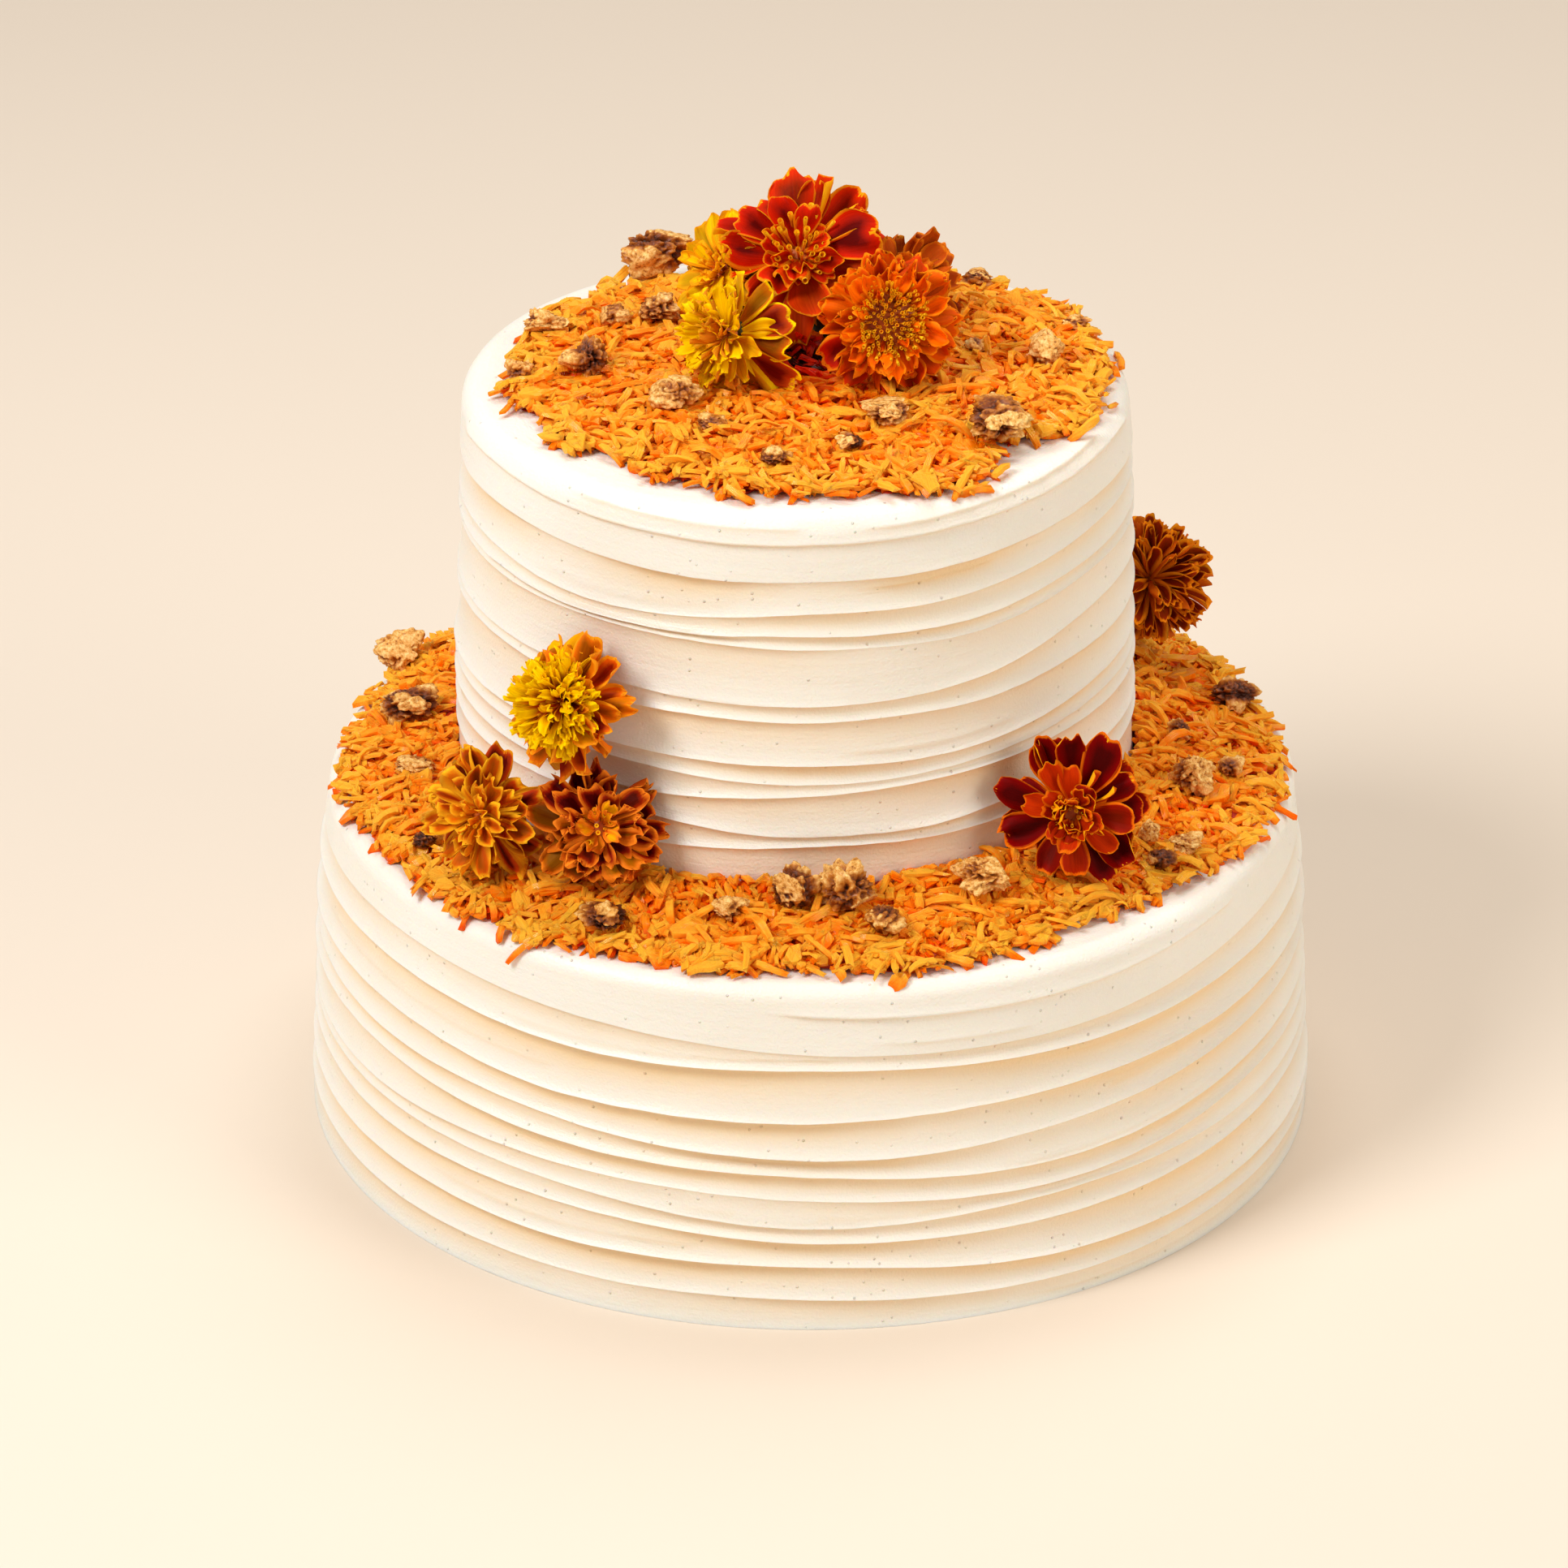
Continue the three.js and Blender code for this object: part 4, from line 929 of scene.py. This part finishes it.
        foot=(57, -54, 104), deep=tone(0.28, 0, 0), body=tone(0.51, 0, 0), rim=tone(0.92, 0.42, 0.02),
        second=tone(0.79, 0.20, 0), back=GOLD, rim_width=0.22, body_width=3.0, cup=0.1, ruffle=1.0,
        rings=[(11, -14, 17, 4.3, 0), (9, 50, 9, 2.6, 0.4), (8, 68, 7.5, 2, 0.2)],
        petals=[
            (92, 4, 21.5, 4, 0, 0), (115, 0, 20, 3.4, 10, 0), (131, 10, 19.5, 2.2, 72, 0.1),
            (167, 2, 19, 4, 0, 0), (202, 4, 17.5, 4.8, 0, 0), (241, 4, 16, 3.7, 0, 0.1),
            (273, 6, 15.5, 3.8, 0, 0.45), (303, -4, 19, 4.6, 0, 0), (324, 0, 18.5, 4.6, 0, 0),
            (357, 16, 15.5, 4, 0, 0.2), (7, -6, 18.5, 3.8, 0, 0.05), (30, 4, 16.5, 4, 0, 0),
            (58, 6, 21, 5.2, 0, 0), (118, 16, 15.5, 3.3, 0, 1), (97, 18, 12.5, 3, 0, 0.95),
            (166, 22, 12.5, 3.3, 0, 1), (314, 20, 13.5, 3, 0, 0.8), (0, 40, 9.5, 2.4, 20, 0.85),
            (266, 34, 10.5, 3, 0, 0.85), (225, 34, 9.5, 2.4, 0, 0.6), (62, 38, 9, 3, 0, 0.1),
            (138, 36, 9.5, 2.5, 0, 0.7), (188, 36, 8.5, 2.2, 25, 0.2), (294, 46, 7, 1.8, 0, 0.9),
            (76, 24, 12, 2.4, 70, 0.7), (40, 20, 12, 2.4, 64, 0.8),
        ],
        florets=(20, 3.4, 5.5, 0.32),
    ),
    dict(
        slot="marigold_bronze", centre=(83.2, 46, 112.8), azimuth=12, elevation=25, radius=15.2,
        foot=(82, 54, 94), deep=tone(0.25, 0.02, 0), body=tone(0.48, 0.07, 0.01), rim=tone(0.95, 0.54, 0.05),
        second=tone(0.80, 0.32, 0.02), back=tone(0.80, 0.35, 0.03), rim_width=0.65, rim_blend=0.5,
        body_width=3, rings=[(10, -34, 14, 3.2, 0)], petals=[], dome=(170, 116, 13, 16.2, 2.1, 2.9, 0.9),
        florets=(0, 1, 1, 1),
    ),
]


def petal_faces():
    """The faces of one petal: its front, its back, and the rim between them."""
    rows, columns = PETAL_ROWS, PETAL_COLUMNS
    back = rows * columns
    faces = []
    for row in range(rows - 1):
        for column in range(columns - 1):
            corner = row * columns + column
            front_face = [corner, corner + columns, corner + columns + 1, corner + 1]
            faces.append(front_face)
            faces.append([back + number for number in front_face[::-1]])
    rim = list(range(columns)) + [row * columns + columns - 1 for row in range(1, rows)]
    rim += [(rows - 1) * columns + column for column in range(columns - 2, -1, -1)]
    rim += [row * columns for row in range(rows - 2, 0, -1)]
    for here, beside in zip(rim, rim[1:] + rim[:1]):
        faces.append([here, beside, back + beside, back + here])
    return faces


def petal(random, rise, length, width, roll, ruffle=PLAIN_RUFFLE, cupped=0.0):
    """One fan-shaped petal from the origin along +X: its points, and how far each is from the rim."""
    any_turn = 6.3  # a wave may start anywhere
    v = np.linspace(0, 1, PETAL_ROWS) ** 0.85
    across = np.linspace(-math.pi / 2, math.pi / 2, PETAL_COLUMNS)
    u = np.sin(across)
    tip = 0.87 + 0.13 * np.cos(across)
    tip -= random.uniform(-0.03, 0.09) * np.exp(-((u - random.normal(0, 0.2)) / 0.32) ** 2)
    tip += 0.012 * ruffle * np.sin(u * random.uniform(5, 8) + random.uniform(0, any_turn))
    share = v[:, None] * tip[None]
    half_width = width * (0.15 + 0.85 * np.sin(np.clip(share / 0.8, 0, 1) * math.pi / 2) ** 1.4)
    half_width *= 1 - 0.26 * np.clip((v[:, None] - 0.75) / 0.25, 0, 1) ** 2
    from_rim = np.minimum((1 - np.abs(u[None])) * half_width, (1 - v[:, None]) * tip[None] * length)
    fine = np.linspace(0, 1, PATH_STEPS)
    curl, recurve = random.normal(8, 20), random.uniform(-30, 50)
    angle = np.radians(rise + curl * fine ** 1.5 - recurve * np.clip(fine - 0.6, 0, 1) * 2.5)
    path_x, path_z = [np.concatenate([[0], np.cumsum(step(angle[:-1]) / (PATH_STEPS - 1))]) * length
                      for step in (np.cos, np.sin)]
    x, z, lean = [np.interp(share, fine, line) for line in (path_x, path_z, angle)]
    folds = random.uniform(0.7, 1.7)
    lift = ruffle * random.uniform(0.1, 0.32) * width * share ** 1.3 * np.sin(
        u[None] * math.pi * folds + random.uniform(0, any_turn) + random.normal(0, 1) * share)
    lift += ruffle * random.uniform(0.08, 0.2) * width * np.exp(-from_rim / 1.3) * share * np.sin(
        u[None] * random.uniform(4, 7) + 6 * share + random.uniform(0, any_turn))
    edge_lift = (random.uniform(-0.25, 0.35) + cupped) * width * np.abs(u[None]) ** 1.6
    lift += edge_lift * (0.4 + 0.6 * share) * (1 - 0.6 * share ** 4)
    x, z = x - np.sin(lean) * lift, z + np.cos(lean) * lift
    sideways = random.normal(0, 0.08) * length * share ** 2
    y = u[None] * half_width * (1 - 0.35 * cupped * np.abs(u[None])) + sideways
    front = np.stack([x, y, z], axis=-1)
    thick = RIM_THICK + (PETAL_THICK - RIM_THICK) * np.clip(from_rim / 1.5, 0, 1)
    behind = front + np.stack([np.sin(lean) * thick, np.zeros_like(thick), -np.cos(lean) * thick], axis=-1)
    points = np.concatenate([front.reshape(-1, 3), behind.reshape(-1, 3)])
    turned = Matrix.Rotation(math.radians(roll), 3, "X")
    return points @ np.array(turned).T, np.tile(from_rim.ravel(), 2)


def lathe(profile, sides, ribs=0.0):
    """A closed round body from (radius, height) pairs that start and end on its axis."""
    turns = np.linspace(0, 2 * math.pi, sides, endpoint=False)
    ribbed = 1 + ribs * np.cos(turns * sides / 2)
    round_x, round_y = ribbed * np.cos(turns), ribbed * np.sin(turns)
    rings = [np.stack([radius * round_x, radius * round_y, np.full(sides, height)], axis=-1)
             for radius, height in profile[1:-1]]
    points = np.concatenate([[[0, 0, profile[0][1]]]] + rings + [[[0, 0, profile[-1][1]]]])
    faces = ring_faces(len(rings), sides, 1)
    end, last = len(points) - 1, 1 + (len(rings) - 1) * sides
    for side in range(sides):
        beside = (side + 1) % sides
        faces.append([0, 1 + beside, 1 + side])
        faces.append([end, last + side, last + beside])
    return points, faces


def turned_to(points, direction, foot):
    """Points made along +Z, turned to a direction and moved to a foot."""
    turn = np.array(Vector((0, 0, 1)).rotation_difference(Vector(direction)).to_matrix())
    return points @ turn.T + np.array(foot)


def turned_about(points, turn):
    """Points turned about the upright axis, by radians."""
    return points @ np.array(Matrix.Rotation(turn, 3, "Z")).T


def marigold_finish(number, flower):
    """Velvety petals: rim, body and depth in this flower's colours, with fine veins along each petal."""
    finish, tree = new_finish(f"marigold_petals_{number:02d}", {
        "Roughness": 0.55, "Specular IOR Level": 0.04,
        "Subsurface Weight": 0.2, "Subsurface Radius": (1.0, 0.8, 0.6), "Subsurface Scale": 0.001,
    })
    veins = add_node(tree, "UVMap", uv_map="veins").outputs["UV"]
    veins = add_node(tree, "Mapping", {"Vector": veins, "Scale": (12.0, 0.7, 1.0)}).outputs["Vector"]
    vein = patches(tree, veins, 1.0, 3.0)
    veined = weighed(tree, vein, 1.2, -0.6)
    inwards = add_node(tree, "Math", {0: stored(tree, "from_rim"), 1: veined}, operation="ADD").outputs[0]
    inwards = weighed(tree, stored(tree, "tint"), 0.5, inwards)
    depth = add_node(tree, "Math", {0: inwards, 1: PETAL_DEPTH}, operation="DIVIDE").outputs[0]
    rim, body, other = flower["rim"], flower["body"], flower["second"]
    rim_end, body_end = flower["rim_width"] / PETAL_DEPTH, flower["body_width"] / PETAL_DEPTH
    body_start = rim_end + flower.get("rim_blend", PLAIN_BLEND) / PETAL_DEPTH
    first = ramp(tree, depth, [(0.0, rim), (rim_end, rim), (body_start, body), (body_end, flower["deep"])])
    second = ramp(tree, depth, [(rim_end, rim), (body_start, other), (body_end + 0.1, other), (0.95, body)])
    face = blended(tree, stored(tree, "share"), first, second)
    shade = ramp(tree, vein, [(0.3, (0.86, 0.80, 0.80, 1)), (0.7, (1.12, 1.15, 1.15, 1))])
    behind = ramp(tree, depth, [(0.15, flower["back"]), (0.6, body)])
    colour = blended(tree, 1.0, blended(tree, stored(tree, "back"), face, behind), shade, "MULTIPLY")
    lay_on(tree, colour, bumped(tree, vein, 0.35, 0.0004))
    return finish


def marigold_piece(number, flower):
    """One whole head: its petals, florets, disc, cup and stem, made face up and then turned to its place."""
    random = np.random.default_rng(FIRST_HEAD_SEED + number)
    radius = flower["radius"]
    ruffle = flower.get("ruffle", PLAIN_RUFFLE)
    points, faces, materials, uv, first = [], [], [], [], 0
    values = {name: [] for name in ("from_rim", "share", "back", "along", "tint")}

    def add(shape, shape_faces, material, **given):
        """Joins a shape to the head, with the values that its finish reads."""
        nonlocal first
        points.append(shape)
        faces.extend([[first + corner for corner in face] for face in shape_faces])
        materials.extend([material] * len(shape_faces))
        for name, collected in values.items():
            collected.append(np.broadcast_to(given.get(name, 0.0), len(shape)).astype(float))
        uv.append(given.get("uv", shape[:, :2] / 10))
        first += len(shape)

    petals = list(flower["petals"])
    for level, (count, rise, length, width, share) in enumerate(flower["rings"]):
        for index in range(count):
            turn = 360 * (index + 0.5 * (level % 2) + random.normal(0, 0.16)) / count
            petals.append((
                turn, rise + random.normal(0, 7), length * random.uniform(0.84, 1.08),
                width * random.uniform(0.82, 1.15), random.normal(0, 16), share + random.normal(0, 0.12),
            ))
    one_petal = petal_faces()
    half = PETAL_ROWS * PETAL_COLUMNS
    vein_u, vein_v = np.meshgrid(np.linspace(-1, 1, PETAL_COLUMNS), np.linspace(0, 1, PETAL_ROWS))
    vein_uv = np.tile(np.stack([vein_u.ravel(), vein_v.ravel()], axis=-1), (2, 1))
    start = flower.get("start", PLAIN_START)
    for turn, rise, length, width, roll, share in petals:
        cupped = flower.get("cup", PLAIN_CUP) * random.uniform(0, 1.6)
        shape, from_rim = petal(random, rise, length - start, width, roll, ruffle, cupped)
        shape += (start, 0, radius * (0.02 + 0.13 * np.clip(rise, -20, 70) / 50))
        shape, back = turned_about(shape, math.radians(turn)), np.repeat((0.0, 1.0), half)
        add(shape, one_petal, 0, from_rim=from_rim, share=np.clip(share, 0, 1), back=back,
            tint=random.normal(0, 0.4), uv=vein_uv * (width / 4, length / 15) + random.uniform(0, 20, 2))

    heart_height = 0.05 * radius
    count, heart, tall, wide = flower["florets"]
    for index in range(count):
        out = math.sqrt((index + 0.5) / count)
        lean = out * 0.5 + random.normal(0, 0.14)
        turn = index * FLORET_TURN + random.normal(0, 0.2)
        direction = (math.sin(lean) * math.cos(turn), math.sin(lean) * math.sin(turn), math.cos(lean))
        high = tall * random.uniform(0.65, 1.1)
        mouth = wide * random.uniform(1.0, 1.9)
        floret, floret_faces = lathe([
            (0, 0), (wide * 0.7, 0), (wide * 0.8, high * 0.7), (mouth, high * 0.93), (mouth * 0.9, high),
            (wide * 0.4, high * 0.8), (0, high * 0.78),
        ], FLORET_SIDES)
        foot = (heart * out * math.cos(turn), heart * out * math.sin(turn), heart_height)
        shape = turned_to(floret, direction, foot)
        add(shape, floret_faces, 1, along=floret[:, 2] / high, tint=random.uniform(0, 1))

    # Dark green leaves hung low under the head: leaves that also serve as painted shade in the hollow beneath
    # it.
    for turn, rise, length, width in flower.get("leaves", []):
        shape, from_rim = petal(random, rise, length, width, 0)
        shape += (2, 0, -0.25 * radius)
        add(turned_about(shape, math.radians(turn)), one_petal, 2)

    disc_profile = [(0, -1.5), (heart * 1.1, -1), (heart * 1.15, 0.6), (heart * 0.8, 1.5), (0, 2.1)]
    disc, disc_faces = lathe(disc_profile, DISC_SIDES)
    add(disc + (0, 0, heart_height), disc_faces, 1, along=0.55)
    if "dome" in flower:
        count, lowest, shortest, longest, narrow, wide, cupped = flower["dome"]
        for index in range(count):
            out = math.sqrt((index + 0.5) / count)
            length, width = random.uniform(shortest, longest), random.uniform(narrow, wide)
            roll = random.normal(0, 40)
            shape, from_rim = petal(random, 90 - lowest * out, length, width, roll, 1.6 - 0.6 * cupped, cupped)
            shape = turned_about(shape + (0.5, 0, 2.5 - 2 * out), index * FLORET_TURN)
            depth = from_rim if cupped else from_rim + 1
            golden = 0.2 if cupped else np.clip(np.tile(vein_v.ravel(), 2) * 3 - 1.3, 0, 1)
            back = np.repeat((0.0, 1.0 if cupped else 0.0), half)
            add(shape, one_petal, 0, from_rim=depth, share=golden, back=back, tint=random.normal(0.2, 0.3),
                uv=vein_uv * 0.5 + random.uniform(0, 20, 2))

    cup, cup_faces = lathe(CUP_PROFILE, CUP_SIDES, 0.05)
    add(cup * radius, cup_faces, 2)
    upwards = Matrix.Rotation(math.radians(90 - flower["elevation"]), 3, "X")
    face_turn = Matrix.Rotation(math.radians(flower["azimuth"]), 3, "Z") @ upwards
    shape = np.concatenate(points) @ np.array(face_turn).T + np.array(flower["centre"])
    calyx = Vector(flower["centre"]) + face_turn @ Vector((0, 0, -0.5 * radius))
    stem_line = Vector(flower["foot"]) - calyx
    long = stem_line.length
    stem_profile = [(0, -1), (1.5, -0.5), (1.6, long * 0.5), (1.45, long), (0, long + 0.4)]
    stem, stem_faces = lathe(stem_profile, STEM_SIDES, 0.04)
    points = [shape]
    add(turned_to(stem, stem_line.normalized(), calyx), stem_faces, 2)
    piece = mesh_piece(f"marigold_{number:02d}_head", np.concatenate(points), faces, smooth_angle=70)
    piece.data.polygons.foreach_set("material_index", materials)
    for name, collected in values.items():
        point_values(piece, name, np.concatenate(collected))
    surface_map(piece, "veins", np.concatenate(uv))
    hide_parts(f"marigold_{number:02d}")
    return piece


# The florets' finish: golden tubes with yellow mouths, darker at their feet as painted shade between them.
# The cup's and the stem's: dark ribbed green.
floret_finish, tree = new_finish("marigold_florets", {
    "Roughness": 0.5,
    "Subsurface Weight": 0.2, "Subsurface Radius": (1.0, 0.6, 0.1), "Subsurface Scale": 0.001,
})
mottle = patches(tree, place_on(tree), 700.0)
# Darker towards a floret's foot: painted shade in the gaps between the florets.
height_up = weighed(tree, mottle, 0.4, weighed(tree, stored(tree, "tint"), 0.35, stored(tree, "along")))
height_up = add_node(tree, "Math", {0: height_up, 1: 1.75}, operation="DIVIDE").outputs[0]
golden = ramp(tree, height_up, [
    (0.2, tone(0.25, 0.06, 0.01)), (0.42, tone(0.80, 0.38, 0.02)), (0.62, tone(0.95, 0.62, 0.04)),
    (0.85, tone(1.0, 0.80, 0.06)),
])
lay_on(tree, golden, bumped(tree, mottle, 0.4, 0.0004))

green_finish, tree = new_finish("marigold_cup_and_stem", {
    "Roughness": 0.48,
    "Subsurface Weight": 0.1, "Subsurface Radius": (0.4, 1.0, 0.2), "Subsurface Scale": 0.001,
})
fibre = patches(tree, place_on(tree), 420.0, 3.0)
dark_green = ramp(tree, fibre, [(0.3, tone(0.07, 0.09, 0.03)), (0.7, tone(0.22, 0.27, 0.10))])
lay_on(tree, dark_green, bumped(tree, fibre, 0.4, 0.0005))

for number, flower in enumerate(MARIGOLDS, 1):
    piece = marigold_piece(number, flower)
    for finish in (marigold_finish(number, flower), floret_finish, green_finish):
        piece.data.materials.append(finish)


# ---- The studio ----------------------------------------------------------------------------------------
# A plain pale floor, a large soft light high on the left, a weaker one on the right, and a pale sky.
bpy.ops.object.select_all(action="DESELECT")
FLOOR_SIZE, MIDDLE_OF_CAKE = 14, Vector((0, 0, 0.1))
bpy.ops.mesh.primitive_plane_add(size=FLOOR_SIZE)
floor = bpy.context.active_object
floor.name = "floor"
floor_finish, tree = new_finish("pale_floor", {"Base Color": tone(0.89, 0.84, 0.78), "Roughness": 0.7})
floor.data.materials.append(floor_finish)


def soft_light(name, place, size, power, colour):
    """A round lamp that faces the cake."""
    lamp = bpy.data.lights.new(name, "AREA")
    lamp.shape = "DISK"
    lamp.size = size
    lamp.energy = power
    lamp.color = colour
    light = bpy.data.objects.new(name, lamp)
    bpy.context.scene.collection.objects.link(light)
    light.location = place
    light.rotation_euler = (MIDDLE_OF_CAKE - Vector(place)).to_track_quat("-Z", "Y").to_euler()


soft_light("key", (-1.0, -0.7, 1.35), 0.7, 22.4, (0.99, 0.995, 1.0))
soft_light("fill", (1.25, -0.85, 0.85), 0.9, 10, (1.0, 0.94, 0.86))
soft_light("top", (0.15, 0.45, 1.5), 0.9, 10, (1.0, 0.99, 0.98))
world = bpy.data.worlds.new("studio")
world.use_nodes = True
sky = world.node_tree.nodes["Background"].inputs
sky["Color"].default_value = (1.0, 0.88, 0.74, 1)
sky["Strength"].default_value = 0.37
bpy.context.scene.world = world
bpy.context.scene.view_settings.view_transform = "Standard"

CAMERA_PLACE, CAMERA_TILT, LENS, SENSOR_WIDTH = (-0.00663, -1.46574, 0.82357), 63.09, 155.3, 36
camera_data = bpy.data.cameras.new("camera")
camera_data.lens = LENS
camera_data.sensor_width = SENSOR_WIDTH
camera = bpy.data.objects.new("camera", camera_data)
camera.location = CAMERA_PLACE
camera.rotation_euler = (math.radians(CAMERA_TILT), 0, 0)
bpy.context.scene.collection.objects.link(camera)
bpy.context.scene.camera = camera
